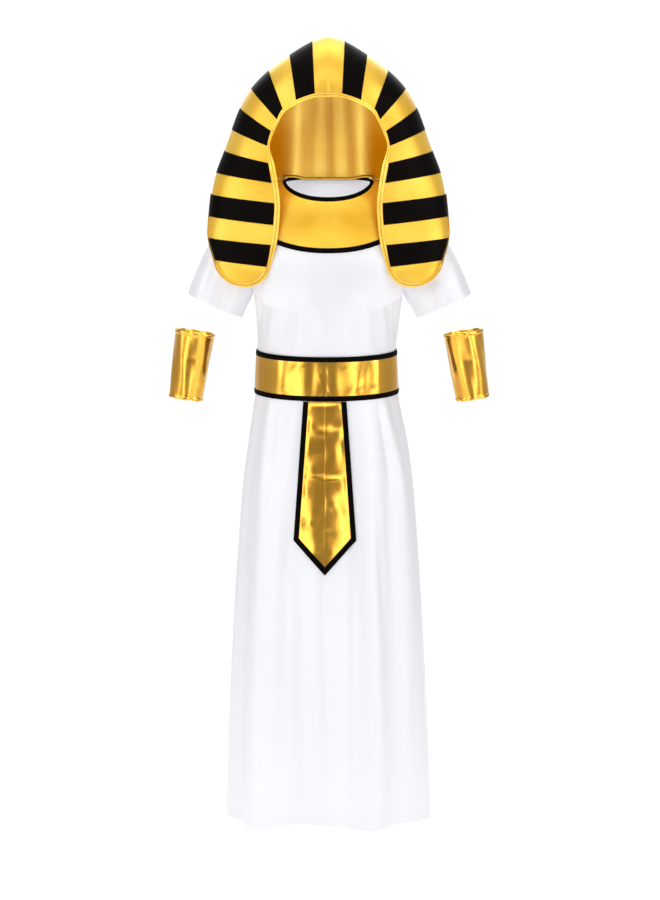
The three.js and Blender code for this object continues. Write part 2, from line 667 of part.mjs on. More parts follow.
for (const side of ["left", "right"]) {
  const sign = side === "left" ? -1 : 1;
  const points = HOOD.map((unused, k) => hoodRow(k, sign));
  const full = points.slice(0, HOOD_BACK_LAST + 1);
  const seam = HOOD_FRONT_CELLS + HOOD_BACK_CELLS;
  const frontOnly = points.map((row) => row.slice(0, HOOD_FRONT_CELLS + 1));
  const outward = (p) => vec(p.x, p.y - 20, p.z - 60);
  const onSeam = (normal, k, j) => {
    if (k === 0 || j === seam) normal.x = 0;
  };
  const frontNormals = gridNormals(frontOnly, false, outward, onSeam);
  const fullNormals = gridNormals(full, false, outward, onSeam);
  const normals = points.map((row, k) =>
    row.map((unused, j) => {
      if (k > HOOD_BACK_LAST) return frontNormals[k][Math.min(j, HOOD_FRONT_CELLS)].clone();
      if (k === 0 && j >= HOOD_FRONT_CELLS) return vec(0, 0, 1);
      return fullNormals[k][j].clone();
    }),
  );
  const lastCell = (k) => (k < HOOD_BACK_LAST ? seam : HOOD_FRONT_CELLS);
  const shell = wall(points, normals, -HOOD_CLOTH, 0, false, (k, j) => j < lastCell(k));
  addPiece("hood_" + side, shell, GOLD_SATIN);

  BANDS.forEach((first, number) => {
    const last = lastCell(first);
    const rows = [first, first + 1].map((k) => points[k].slice(0, last + 1));
    const out = [first, first + 1].map((k) => normals[k].slice(0, last + 1));
    const band = wall(rows, out, SEAM, SEAM + BAND_CLOTH);
    addPiece("band_" + (number + 1) + "_" + side, band, BLACK);
  });

  const from = HOOD_FRONT_CELLS + 2;
  const liningRows = full.map((row) => row.slice(from));
  const liningOut = normals.slice(0, HOOD_BACK_LAST + 1).map((row) => row.slice(from));
  const inner = -HOOD_CLOTH - SEAM;
  addPiece("hood_lining_" + side, wall(liningRows, liningOut, inner - LINING_CLOTH, inner), GOLD_LINING);

  const path = HOOD.map((unused, k) => ({
    start: points[k][0],
    end: FACE_BINDING[k],
    out: normals[k][0],
  }));
  for (const { station, point } of OUTER_BINDING) {
    path.push({
      start: points[station][HOOD_FRONT_CELLS],
      end: point,
      out: normals[station][HOOD_FRONT_CELLS],
    });
  }
  const strip = path.map(({ start, end }, k) => {
    const gap = k > 13 && k < 18 ? 1.1 : SEAM + 0.3;
    const stop = vec(HOOD_X + sign * Math.max(end[0], SEAM / 2), end[1], end[2]);
    const length = start.distanceTo(stop);
    return [0, 0.5, 1].map((t) => start.clone().lerp(stop, lerp(gap / length, 1, t)));
  });
  const stripNormals = gridNormals(
    strip,
    false,
    () => vec(0, -1, 0),
    (normal, k, j) => {
      const weight = [1, 0.5, 0][j];
      normal.lerp(path[k].out, weight);
      if (k === 0) normal.x = 0;
    },
  );
  addPiece("hood_binding_" + side, wall(strip, stripNormals, -HOOD_CLOTH, 0.7), GOLD_SATIN);
}

// Wrist cuffs
for (const side of ["left", "right"]) {
  const sign = side === "left" ? -1 : 1;
  const tilt = degToRad(CUFF_TILT_DEG);
  const [midX, midZ] = CUFF_CENTRE[side];
  const lowerHem = CUFF_LENGTH - CUFF_HEM;
  const rows = [0, CUFF_HEM, CUFF_HEM + 1, 30, 56, 84, lowerHem - 1, lowerHem, CUFF_LENGTH];
  const points = rows.map((down, i) => {
    const hem = i < 2 || i > rows.length - 3;
    const radius = lerp(CUFF_TOP_RADIUS, CUFF_BOTTOM_RADIUS, down / CUFF_LENGTH) + (hem ? 0.7 : 0);
    const along = CUFF_LENGTH / 2 - down;
    const row = [];
    for (let j = 0; j < 24; j++) {
      const turn = (2 * Math.PI * j) / 24;
      const dent = hem ? 0.4 * Math.sin(5 * turn) : 0.9 * Math.sin(4 * turn + 0.6) + 0.5 * Math.sin(7 * turn);
      const x = (radius + dent) * Math.cos(turn);
      const y = (radius + dent) * Math.sin(turn) * 0.94;
      row.push(
        vec(
          midX + x * Math.cos(tilt) - sign * along * Math.sin(tilt),
          y,
          midZ + along * Math.cos(tilt) + sign * x * Math.sin(tilt),
        ),
      );
    }
    return row;
  });
  const normals = gridNormals(points, true, (p) => vec(0, p.y, 0));
  addPiece("cuff_" + side, wall(points, normals, -CUFF_CLOTH, 0, true), GOLD_LAME);
}

export default root;
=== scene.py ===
import math

import bmesh
import bpy
import numpy as np
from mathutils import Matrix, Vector
from mathutils.bvhtree import BVHTree


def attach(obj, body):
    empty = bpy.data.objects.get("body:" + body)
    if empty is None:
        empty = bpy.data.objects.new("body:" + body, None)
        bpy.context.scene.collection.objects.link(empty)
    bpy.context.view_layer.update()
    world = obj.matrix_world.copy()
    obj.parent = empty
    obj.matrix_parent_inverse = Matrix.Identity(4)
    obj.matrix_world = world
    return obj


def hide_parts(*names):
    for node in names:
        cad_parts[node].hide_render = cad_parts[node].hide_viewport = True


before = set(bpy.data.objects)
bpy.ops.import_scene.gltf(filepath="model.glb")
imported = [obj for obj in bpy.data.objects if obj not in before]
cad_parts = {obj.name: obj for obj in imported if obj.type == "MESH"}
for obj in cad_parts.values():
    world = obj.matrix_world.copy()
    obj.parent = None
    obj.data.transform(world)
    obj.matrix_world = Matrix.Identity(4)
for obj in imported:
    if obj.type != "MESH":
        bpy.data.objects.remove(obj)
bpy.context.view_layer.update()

MM = 0.001
# Sign of x on each side, as the photo shows them
SIDES = {"left": -1, "right": 1}

# Camera, light and floor

PHOTO_HEIGHT_M = 1.497
CAMERA_DISTANCE_M = 8.0
CAMERA_ELEVATION_DEG = 7.0
VIEW_CENTRE = Vector((0.004, 0.0, -0.4370))


def set_camera():
    """Camera at the photo's height and frame, far enough for a flat view."""
    data = bpy.data.cameras.new("camera")
    data.sensor_fit = "AUTO"
    data.sensor_width = 36
    data.lens = 36 * CAMERA_DISTANCE_M / PHOTO_HEIGHT_M
    data.clip_end = 100
    camera = bpy.data.objects.new("camera", data)
    tilt = math.radians(CAMERA_ELEVATION_DEG)
    away = Vector((0, -math.cos(tilt), math.sin(tilt))) * CAMERA_DISTANCE_M
    camera.location = VIEW_CENTRE + away
    camera.rotation_euler = (math.radians(90) - tilt, 0, 0)
    bpy.context.scene.collection.objects.link(camera)
    bpy.context.scene.camera = camera


def area_light(name, place, size, power, mirrored=True, target=(0, 0, -0.45)):
    """Lamp that the camera doesn't see; a mirrored one shows in glossy cloth."""
    data = bpy.data.lights.new(name, "AREA")
    data.shape = "RECTANGLE"
    data.size, data.size_y = size
    data.energy = power
    light = bpy.data.objects.new(name, data)
    light.visible_glossy = mirrored
    light.visible_camera = False
    light.location = place
    light.rotation_euler = (Vector(target) - Vector(place)).to_track_quat("-Z", "Y").to_euler()
    bpy.context.scene.collection.objects.link(light)


def tone_ramp(nodes, stops):
    """Grey tones between the given places and tones."""
    ramp = nodes.new("ShaderNodeValToRGB")
    ramp.color_ramp.elements[0].position = stops[0][0]
    ramp.color_ramp.elements[1].position = stops[-1][0]
    for at, value in stops[1:-1]:
        ramp.color_ramp.elements.new(at)
    for element, (at, value) in zip(ramp.color_ramp.elements, stops):
        element.color = (value, value, value, 1)
    return ramp


SEEN, AMBIENT, MIRRORED = 1.05, 0.25, 1.0


def set_world():
    """White studio, whose glossy side has a dark gap in front between bright soft boxes."""
    world = bpy.data.worlds.new("studio")
    bpy.context.scene.world = world
    world.use_nodes = True
    nodes, links = world.node_tree.nodes, world.node_tree.links
    nodes.clear()
    out = nodes.new("ShaderNodeOutputWorld")
    seen = nodes.new("ShaderNodeBackground")
    seen.inputs["Color"].default_value = (1, 1, 1, 1)
    seen.inputs["Strength"].default_value = SEEN
    ambient = nodes.new("ShaderNodeBackground")
    ambient.inputs["Color"].default_value = (0.97, 0.98, 1, 1)
    ambient.inputs["Strength"].default_value = AMBIENT
    mirrored = nodes.new("ShaderNodeBackground")
    mirrored.inputs["Strength"].default_value = MIRRORED
    path = nodes.new("ShaderNodeLightPath")
    place = nodes.new("ShaderNodeTexCoord")
    split = nodes.new("ShaderNodeSeparateXYZ")
    links.new(place.outputs["Generated"], split.inputs[0])
    lift = nodes.new("ShaderNodeMath")
    lift.operation = "MULTIPLY_ADD"
    lift.inputs[1].default_value = -0.5
    lift.inputs[2].default_value = 0.5
    links.new(split.outputs["Y"], lift.inputs[0])
    around = tone_ramp(nodes, SOFT_BOX_TONES)
    links.new(lift.outputs[0], around.inputs["Fac"])
    links.new(around.outputs["Color"], mirrored.inputs["Color"])
    first = nodes.new("ShaderNodeMixShader")
    links.new(path.outputs["Is Glossy Ray"], first.inputs["Fac"])
    links.new(ambient.outputs[0], first.inputs[1])
    links.new(mirrored.outputs[0], first.inputs[2])
    second = nodes.new("ShaderNodeMixShader")
    links.new(path.outputs["Is Camera Ray"], second.inputs["Fac"])
    links.new(first.outputs[0], second.inputs[1])
    links.new(seen.outputs[0], second.inputs[2])
    links.new(second.outputs[0], out.inputs["Surface"])


# Tones from straight behind, 0, to straight in front, 1
SOFT_BOX_TONES = [
    (0.0, 0.7), (0.3, 0.4), (0.52, 0.42), (0.62, 0.5), (0.70, 1.4), (0.745, 1.4), (0.80, 0.3),
    (0.88, 0.4), (0.908, 2.8), (0.945, 2.8), (0.967, 0.5), (0.985, 0.3), (1.0, 0.25),
]

set_camera()
set_world()
area_light("front", (-1.9, -4.6, 1.5), (1.4, 1.4), 49, mirrored=False)
area_light("front_fill", (2.4, -4.2, 1.2), (1.4, 1.4), 14, mirrored=False)
area_light("left", (-3.6, -2.2, 1.2), (1.6, 3.2), 36)
area_light("right", (3.7, -2.2, 1.1), (1.6, 3.2), 46)
area_light("top", (0.0, 0.6, 3.4), (4.2, 3.4), 120)
area_light("back", (0.0, 3.2, 1.4), (3.6, 2.0), 40)
area_light("lining", (0.0, -0.10, 0.085), (0.12, 0.10), 0.16, mirrored=False, target=(0.0, 0.07, 0.07))
area_light("inside", (0.0, -0.02, -0.07), (0.06, 0.04), 0.045, mirrored=False, target=(0.0, 0.06, -0.01))
bpy.context.scene.view_settings.view_transform = "Standard"

# Materials


RIBS_ACROSS, RIBS_ALONG, ALONG_SHARE = 6.283, 1.571, 0.35
THREAD_DEPTH_SHARE, CRUMPLE_DEPTH_M = 0.25, 0.0012
GLOSS_SPREAD, PAINTED_NOISE, SHEEN_ROUGHNESS = 0.15, 0.2, 0.4


def weave_group():
    """Threads of a satin: fine ribs across and finer ones along, as a height from 0 to 1."""
    tree = bpy.data.node_groups.new("satin_threads", "ShaderNodeTree")
    tree.interface.new_socket("Thread Pitch", in_out="INPUT", socket_type="NodeSocketFloat")
    tree.interface.new_socket("Height", in_out="OUTPUT", socket_type="NodeSocketFloat")
    nodes, links = tree.nodes, tree.links
    inside = nodes.new("NodeGroupInput")
    outside = nodes.new("NodeGroupOutput")
    uv = nodes.new("ShaderNodeUVMap")
    uv.uv_map = "cut"
    turn = nodes.new("ShaderNodeMath")
    turn.operation = "DIVIDE"
    turn.inputs[0].default_value = 1.0
    links.new(inside.outputs["Thread Pitch"], turn.inputs[1])
    spread = nodes.new("ShaderNodeVectorMath")
    spread.operation = "SCALE"
    links.new(uv.outputs[0], spread.inputs[0])
    links.new(turn.outputs[0], spread.inputs["Scale"])
    split = nodes.new("ShaderNodeSeparateXYZ")
    links.new(spread.outputs[0], split.inputs[0])
    waves = []
    for axis, size in (("X", RIBS_ACROSS), ("Y", RIBS_ALONG)):
        scaled = nodes.new("ShaderNodeMath")
        scaled.operation = "MULTIPLY"
        scaled.inputs[1].default_value = size
        links.new(split.outputs[axis], scaled.inputs[0])
        sine = nodes.new("ShaderNodeMath")
        sine.operation = "SINE"
        links.new(scaled.outputs[0], sine.inputs[0])
        waves.append(sine)
    both = nodes.new("ShaderNodeMath")
    both.operation = "MULTIPLY_ADD"
    both.inputs[1].default_value = ALONG_SHARE
    links.new(waves[1].outputs[0], both.inputs[0])
    links.new(waves[0].outputs[0], both.inputs[2])
    links.new(both.outputs[0], outside.inputs["Height"])
    return tree


def sheen_group():
    """Slow and fast unevenness of cloth, from 0 to 1, on the piece's own place."""
    tree = bpy.data.node_groups.new("cloth_unevenness", "ShaderNodeTree")
    tree.interface.new_socket("Slow Scale", in_out="INPUT", socket_type="NodeSocketFloat")
    tree.interface.new_socket("Fast Scale", in_out="INPUT", socket_type="NodeSocketFloat")
    tree.interface.new_socket("Slow", in_out="OUTPUT", socket_type="NodeSocketFloat")
    tree.interface.new_socket("Fast", in_out="OUTPUT", socket_type="NodeSocketFloat")
    nodes, links = tree.nodes, tree.links
    inside = nodes.new("NodeGroupInput")
    outside = nodes.new("NodeGroupOutput")
    place = nodes.new("ShaderNodeTexCoord")
    for kind, detail in (("Slow", 2.0), ("Fast", 5.0)):
        noise = nodes.new("ShaderNodeTexNoise")
        noise.inputs["Detail"].default_value = detail
        links.new(place.outputs["Object"], noise.inputs["Vector"])
        links.new(inside.outputs[kind + " Scale"], noise.inputs["Scale"])
        links.new(noise.outputs["Fac"], outside.inputs[kind])
    return tree


SATIN_THREADS = weave_group()
UNEVENNESS = sheen_group()


def cloth_material(name, light, dark, rough, metal=0.0, sheen=0.0, pitch=0.0006, thread=0.12, crumple=0.0,
                   slow=9.0, fast=60.0, spread=(0.35, 0.65), coat=0.0, coat_ior=1.5, specular=0.5,
                   painted=False):
    """Satin or foil cloth between two tones, with threads, and with a painted sheen or crumples if asked."""
    material = bpy.data.materials.new(name)
    material.use_nodes = True
    nodes, links = material.node_tree.nodes, material.node_tree.links
    shader = nodes["Principled BSDF"]
    uneven = nodes.new("ShaderNodeGroup")
    uneven.node_tree = UNEVENNESS
    uneven.inputs["Slow Scale"].default_value = slow
    uneven.inputs["Fast Scale"].default_value = fast
    ramp = nodes.new("ShaderNodeValToRGB")
    ramp.color_ramp.elements[0].position = spread[0]
    ramp.color_ramp.elements[0].color = (*dark, 1)
    ramp.color_ramp.elements[1].position = spread[1]
    ramp.color_ramp.elements[1].color = (*light, 1)
    tone = uneven.outputs["Slow"]
    if painted:
        # The attribute sheen holds painted highlights and painted shade, added to the slow noise
        painted_light = nodes.new("ShaderNodeAttribute")
        painted_light.attribute_name = "sheen"
        both = nodes.new("ShaderNodeMath")
        both.operation = "MULTIPLY_ADD"
        both.inputs[1].default_value = PAINTED_NOISE
        links.new(uneven.outputs["Slow"], both.inputs[0])
        links.new(painted_light.outputs["Fac"], both.inputs[2])
        tone = both.outputs[0]
    links.new(tone, ramp.inputs["Fac"])
    links.new(ramp.outputs["Color"], shader.inputs["Base Color"])
    gloss = nodes.new("ShaderNodeMapRange")
    gloss.inputs["To Min"].default_value = rough * (1 - GLOSS_SPREAD)
    gloss.inputs["To Max"].default_value = rough * (1 + GLOSS_SPREAD)
    links.new(uneven.outputs["Fast"], gloss.inputs["Value"])
    links.new(gloss.outputs["Result"], shader.inputs["Roughness"])
    threads = nodes.new("ShaderNodeGroup")
    threads.node_tree = SATIN_THREADS
    threads.inputs["Thread Pitch"].default_value = pitch
    bump = nodes.new("ShaderNodeBump")
    bump.inputs["Strength"].default_value = thread
    bump.inputs["Distance"].default_value = pitch * THREAD_DEPTH_SHARE
    links.new(threads.outputs["Height"], bump.inputs["Height"])
    last = bump
    if crumple:
        crumpled = nodes.new("ShaderNodeBump")
        crumpled.inputs["Strength"].default_value = crumple
        crumpled.inputs["Distance"].default_value = CRUMPLE_DEPTH_M
        links.new(uneven.outputs["Fast"], crumpled.inputs["Height"])
        links.new(bump.outputs["Normal"], crumpled.inputs["Normal"])
        last = crumpled
    links.new(last.outputs["Normal"], shader.inputs["Normal"])
    shader.inputs["Metallic"].default_value = metal
    shader.inputs["Sheen Weight"].default_value = sheen
    shader.inputs["Sheen Roughness"].default_value = SHEEN_ROUGHNESS
    shader.inputs["Coat Weight"].default_value = coat
    shader.inputs["Coat IOR"].default_value = coat_ior
    shader.inputs["Coat Roughness"].default_value = rough
    shader.inputs["Specular IOR Level"].default_value = specular
    return material


WHITE_SATIN = cloth_material(
    "white_satin", (0.92, 0.92, 0.955), (0.89, 0.89, 0.93), 0.33, metal=0.09, sheen=0.04, slow=3.0, fast=40)
GOLD_SATIN = cloth_material(
    "gold_satin", (1.0, 0.63, 0.07), (0.92, 0.52, 0.035), 0.33, metal=0.42, slow=11, fast=50)
COLLAR_SATIN = cloth_material(
    "collar_satin", (0.97, 0.59, 0.06), (0.86, 0.46, 0.02), 0.33, metal=0.45, slow=11, fast=50)
GOLD_ROLL = cloth_material(
    "gold_rolled_binding", (1.0, 0.67, 0.10), (0.94, 0.54, 0.05), 0.32, metal=0.4, slow=30)
# The lining's ramp runs from painted shade, dark amber, to painted highlight, pale gold, set by the attribute
# sheen
GOLD_LINING = cloth_material(
    "gold_lining", (1.0, 0.84, 0.20), (0.50, 0.21, 0.0), 0.32, metal=0.3, specular=0.2, slow=9, fast=30,
    spread=(0.1, 1.05), painted=True)
GOLD_FOIL = cloth_material(
    "gold_foil_cloth", (1.0, 0.52, 0.02), (0.90, 0.42, 0.008), 0.20, metal=0.97, crumple=0.12, slow=16,
    fast=40, thread=0.04, coat=0.5, coat_ior=2.0)
BLACK_SATIN = cloth_material(
    "black_satin", (0.0026, 0.0016, 0.001), (0.0016, 0.001, 0.0007), 0.42, slow=14, specular=0.035)
BLACK_TAPE = cloth_material(
    "black_tape", (0.0024, 0.0016, 0.001), (0.0012, 0.0008, 0.0006), 0.6, pitch=0.0009, thread=0.3, slow=30,
    specular=0.03)
WHITE_THREAD = cloth_material("white_thread", (0.84, 0.84, 0.88), (0.78, 0.78, 0.83), 0.5, slow=60)
# A real row of stitches, whose dark amber is painted shade for the groove along the binding's middle
GOLD_THREAD = cloth_material("gold_thread", (0.27, 0.10, 0.006), (0.20, 0.07, 0.004), 0.45, slow=60)
BLACK_THREAD = cloth_material(
    "black_thread", (0.012, 0.010, 0.008), (0.007, 0.006, 0.005), 0.5, slow=60, specular=0.2)

# Grids and walls


def spline(table, at):
    """Smooth values between the rows of a table, with straight ends."""
    table = np.asarray(table, float)
    padded = np.concatenate([[2 * table[0] - table[1]], table, [2 * table[-1] - table[-2]]])
    at = np.clip(np.asarray(at, float), 0, len(table) - 1)
    cell = np.minimum(at.astype(int), len(table) - 2)
    t = (at - cell)[..., None] if table.ndim > 1 else at - cell
    a, b, c, d = (padded[cell + k] for k in range(4))
    return 0.5 * (2 * b + (c - a) * t + (2 * a - 5 * b + 4 * c - d) * t**2 + (3 * b - 3 * c + d - a) * t**3)


def smoothstep(x, low, high):
    """From 0 at low to 1 at high, without a corner."""
    t = np.clip((np.asarray(x, float) - low) / (high - low), 0, 1)
    return t * t * (3 - 2 * t)


def mix(a, b, t):
    """From a at 0 to b at 1."""
    return a + (b - a) * t


def bell(x, at, wide):
    """Soft hump, 1 high, about a place."""
    return np.exp(-(((x - at) / wide) ** 2))


def round_bell(angle, at, wide):
    """Soft hump about an angle in degrees."""
    away = (angle - at + 180) % 360 - 180
    return np.exp(-((away / wide) ** 2))


def unit(v):
    """Vectors brought to length 1."""
    return v / np.maximum(np.linalg.norm(v, axis=-1, keepdims=True), 1e-12)


def step_lengths(points):
    """Distances from each point of a line to the next, or from each row of a grid to the next."""
    return np.linalg.norm(np.diff(points, axis=0), axis=-1)


def strip_run(points):
    """How far each point of a line lies along it."""
    return np.concatenate([[0], np.cumsum(step_lengths(points))])


def grid_normals(points, closed, towards):
    """Normals of a grid by differences; towards gives, for each point, a direction that is out."""
    if closed:
        across = np.roll(points, -1, axis=1) - np.roll(points, 1, axis=1)
    else:
        across = np.gradient(points, axis=1)
    down = np.gradient(points, axis=0)
    normals = unit(np.cross(across, down))
    if (normals * towards).sum() < 0:
        normals = -normals
    return normals


def cut_size(points, closed, used):
    """Width, length and area of the used cells of a grid as flat cloth, in metres."""
    ring = np.concatenate([points, points[:, :1]], axis=1) if closed else points
    across = np.linalg.norm(np.diff(ring, axis=1), axis=2)
    down = step_lengths(points)
    beside = np.concatenate([used, used[:, -1:]], axis=1)[:, : down.shape[1]]
    a, b, c, d = ring[:-1, :-1], ring[:-1, 1:], ring[1:, 1:], ring[1:, :-1]
    area = 0.5 * (np.linalg.norm(np.cross(c - a, d - b), axis=2) * used).sum()
    wide = (across[:-1] * used).sum(axis=1).max()
    long = (down * beside).sum(axis=0).max()
    return wide * MM, long * MM, area * MM * MM


def flat_places(points, closed=False):
    """How far each grid point lies along its row and down from the first row, in millimetres."""
    ring = np.concatenate([points, points[:, :1]], axis=1) if closed else points
    steps = np.linalg.norm(np.diff(ring, axis=1), axis=2)
    run = np.concatenate([np.zeros((len(points), 1)), np.cumsum(steps, axis=1)], axis=1)
    down = np.concatenate([np.zeros((1, points.shape[1])), np.cumsum(step_lengths(points), axis=0)])
    return run, np.repeat(down.mean(axis=1)[:, None], points.shape[1], axis=1)


def creased(points, normals, table, closed=False):
    """Moves a grid by soft ridges and troughs: run, down, half width, half length, height, lean."""
    run, down = flat_places(points, closed)
    around = run[:, -1:]
    run = run[:, : points.shape[1]]
    out = np.zeros(points.shape[:2])
    for place, height, wide, long, high, lean in table:
        away = run - place - lean * (down - height)
        if closed:
            away = (away + around / 2) % around - around / 2
        out += high * np.exp(-((away / wide) ** 2)) * bell(down, height, long)
    return points + normals * out[..., None]


# Flat sizes are rounded up to whole steps of 5 mm
FLAT_LEAST_M, FLAT_STEPS = 0.01, 200
WELD_M, THIN_M = 1e-6, 1e-7


def cloth_piece(name, points, normals, inner, outer, material, closed=False, used=None, nodes=(), slot=None,
                held="stretched", rests_on=(), angle=42):
    """A thin wall of cloth between two offsets from a grid; the size of its flat cut is worked out."""
    rows, cols = points.shape[:2]
    count = rows * cols
    over = points + normals * np.asarray(outer)[..., None]
    under = points + normals * np.asarray(inner)[..., None]
    verts = np.concatenate([over.reshape(-1, 3), under.reshape(-1, 3)]) * MM
    index = np.arange(count).reshape(rows, cols)
    if closed:
        index = np.concatenate([index, index[:, :1]], axis=1)
    if used is None:
        used = np.ones((rows - 1, index.shape[1] - 1), bool)
    top = np.stack([index[:-1, :-1], index[1:, :-1], index[1:, 1:], index[:-1, 1:]], axis=-1)[used]
    pairs = np.concatenate([top[:, [k, (k + 1) % 4]] for k in range(4)])
    edge = ~np.isin(pairs[:, 0] * count + pairs[:, 1], pairs[:, 1] * count + pairs[:, 0])
    start, stop = pairs[edge].T
    walls = np.stack([stop, start, start + count, stop + count], axis=-1)
    keep, faces = np.unique(np.concatenate([top, top[:, ::-1] + count, walls]), return_inverse=True)
    faces = faces.reshape(-1, 4)
    run, down = flat_places(points, closed)
    uv = np.stack([run[:, :cols], down], axis=-1).reshape(-1, 2) * MM
    verts, uv = verts[keep], np.concatenate([uv, uv])[keep]
    corner = [verts[faces[:, k]] for k in range(4)]
    volume = sum((corner[0] * np.cross(corner[k], corner[k + 1])).sum() for k in (1, 2))
    if volume < 0:
        faces = faces[:, ::-1]
    mesh = bpy.data.meshes.new(name)
    mesh.from_pydata(verts.tolist(), [], faces.tolist())
    layer = mesh.uv_layers.new(name="cut")
    loops = np.empty(len(mesh.loops), np.int32)
    mesh.loops.foreach_get("vertex_index", loops)
    layer.data.foreach_set("uv", uv[loops].astype(np.float32).ravel())
    mesh.materials.append(material)
    piece = bpy.data.objects.new(name, mesh)
    bpy.context.scene.collection.objects.link(piece)
    weld(mesh)
    mesh.polygons.foreach_set("use_smooth", [True] * len(mesh.polygons))
    mesh.set_sharp_from_angle(angle=math.radians(angle))
    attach(piece, "root")
    if nodes:
        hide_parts(*nodes)
    wide, long, area = cut_size(points, closed, used)
    wide, long = (max(FLAT_LEAST_M, math.ceil(k * FLAT_STEPS + 0.2) / FLAT_STEPS) for k in (wide, long))
    return piece


def weld(mesh):
    """Joins the points that lie on each other, as at the crown."""
    work = bmesh.new()
    work.from_mesh(mesh)
    bmesh.ops.remove_doubles(work, verts=work.verts, dist=WELD_M)
    bmesh.ops.dissolve_degenerate(work, edges=work.edges, dist=THIN_M)
    work.to_mesh(mesh)
    work.free()


# Robe, in millimetres and with the sizes of its pattern

# Cells across a panel; steps for measuring along it; how high collar and tapes lie over the robe; how near
# halves come to the middle; gap in rows between neighbours
COLUMNS = 96
FINE_STEPS = 1200
FRONT_MIDDLE = COLUMNS // 2
SEAM = 0.3
TOUCH = 0.03
NEAR = 0.008
# Thickness of the robe's cloth, and how far apart the rows of points lie on each piece
ROBE_WALL = 1.1
ROBE_PITCH, COLLAR_PITCH, BELT_PITCH, TAPE_PITCH = 6.0, 3.0, 2.4, 1.2
# Place of the robe's middle, and how square its round is at the yoke, at the body and in its dip
MIDDLE_X = 0.8
YOKE_BEND, BODY_BEND, DROP_BEND = 2.25, 2.15, 1.2
SHOULDER_TIP = np.array([157.0, -38.0])
ARMPIT = np.array([123.5, -173.0])
ARMHOLE_DEPTH = 52.0
ARMHOLE_STEPS = 9
ARM_LENGTH = float(np.hypot(*(SHOULDER_TIP - ARMPIT)))
ARM_UP = (SHOULDER_TIP - ARMPIT) / ARM_LENGTH

# side x, side z, front depth, front z, back depth, back z
YOKE_ROWS = [
    (70, 11.5, -50, -13, 40, 18),
    (75, 9, -54, -20, 44, 12.5),
    (98, -1, -67, -45, 62, -12),
    (119, -14.2, -77, -70, 75, -40),
    (139, -26.7, -84, -94, 82, -68),
    (145, -30.5, -86, -102, 84, -77),
    (157, -38, -88, -113, 87, -90),
]
# front depth, front z, back depth, back z
ARM_ROWS = [
    (-88, -113, 87, -90),
    (-88.5, -119, 88, -98),
    (-89, -126, 89, -107),
    (-89.5, -134, 90, -117),
    (-90, -143, 90, -128),
    (-90.5, -153, 90, -140),
    (-90.5, -164, 89, -153),
    (-90.5, -175, 88, -166),
    (-90, -187, 87, -180),
    (-89.5, -199, 86, -194),
]
# half width, middle, side z, front depth, back depth, dip of the front
BODY_ROWS = [
    (123.5, 0.8, -173, -89.5, 86, 26),
    (120, 1.2, -202, -88, 84, 18),
    (116.5, 0, -236, -86, 82, 11),
    (114.5, -1.6, -268, -85, 80, 5),
    (115, -1.6, -276.6, -85, 80, 5),
    (116.2, -1.6, -304, -86, 81.5, 5),
    (117.6, -1.6, -331.4, -87.5, 83.5, 6),
    (118, -1.6, -340, -88, 84, 6),
    (123, -1, -372, -92, 88, 5),
    (130.7, 0.6, -414, -96, 92, 3),
    (137, 0.8, -456, -100, 96.5, 1),
    (142.5, 0.8, -505, -104.5, 101, 0),
    (148, 1.2, -581, -110, 107, 0),
    (152.5, 1.4, -650, -114.5, 112, 0),
    (156.5, 1.7, -720, -118.5, 116, 0),
    (160.5, 2, -790, -122, 120, 0),
    (164, 2.4, -858, -125, 123.5, 0),
    (167, 2.8, -925, -128, 126.5, 0),
    (169.5, 2.7, -990, -130.5, 129, 0),
    (171.5, 2.5, -1050, -132.5, 131, 0),
]
ROW_NECK, ROW_COLLAR_TOP, ROW_COLLAR_EDGE, ROW_COLLAR_END, ROW_TIP = 0, 1, 4, 5, 6
ROW_ARMPIT = ROW_TIP + ARMHOLE_STEPS
ROW_BELT_TOP = ROW_ARMPIT + 3
ROW_WAIST = ROW_BELT_TOP + 2
ROW_HEM = ROW_ARMPIT + len(BODY_ROWS) - 1

# Folds of the skirt: place round the body, half width, height, where they begin and are full
FOLDS = [
    (20, 9, 5.5, -350, -960), (49, 11, -6.5, -520, -1040), (65, 8, 5.5, -480, -1000),
    (80, 7, -5, -610, -1040), (94, 9, 5, -560, -1040), (114, 10, -7, -500, -980), (135, 10, 6, -350, -1000),
    (152, 8, -5, -400, -1000), (168, 8, 4, -350, -900), (194, 9, -5, -380, -960), (212, 10, 6, -360, -1000),
    (236, 11, -6, -460, -1040), (257, 9, 6, -400, -980), (277, 9, -5.5, -520, -1040),
    (297, 10, 6, -360, -1000), (320, 10, -6, -420, -1020), (341, 9, 5, -350, -960),
]
# Gathers under the belt: place round the body, half width, height
GATHERS = [
    (12, 6, 2.6), (27, 6, -2.4), (38, 6, 2.2), (141, 6, 2.2), (154, 6, -2.6), (167, 6, 2.6), (205, 7, -2.2),
    (226, 7, 2.4), (252, 8, -2), (288, 8, 2.2), (312, 7, -2.2), (334, 7, 2.4),
]
# Waves of the hem: place round the body, half width, how much lower it hangs
HEM_LINE = [
    (68, 15, -7), (100, 14, 6), (130, 16, -9), (172, 12, 3), (212, 16, -4), (257, 14, -3), (300, 16, -5),
]

CREASE_GAIN = 1.8
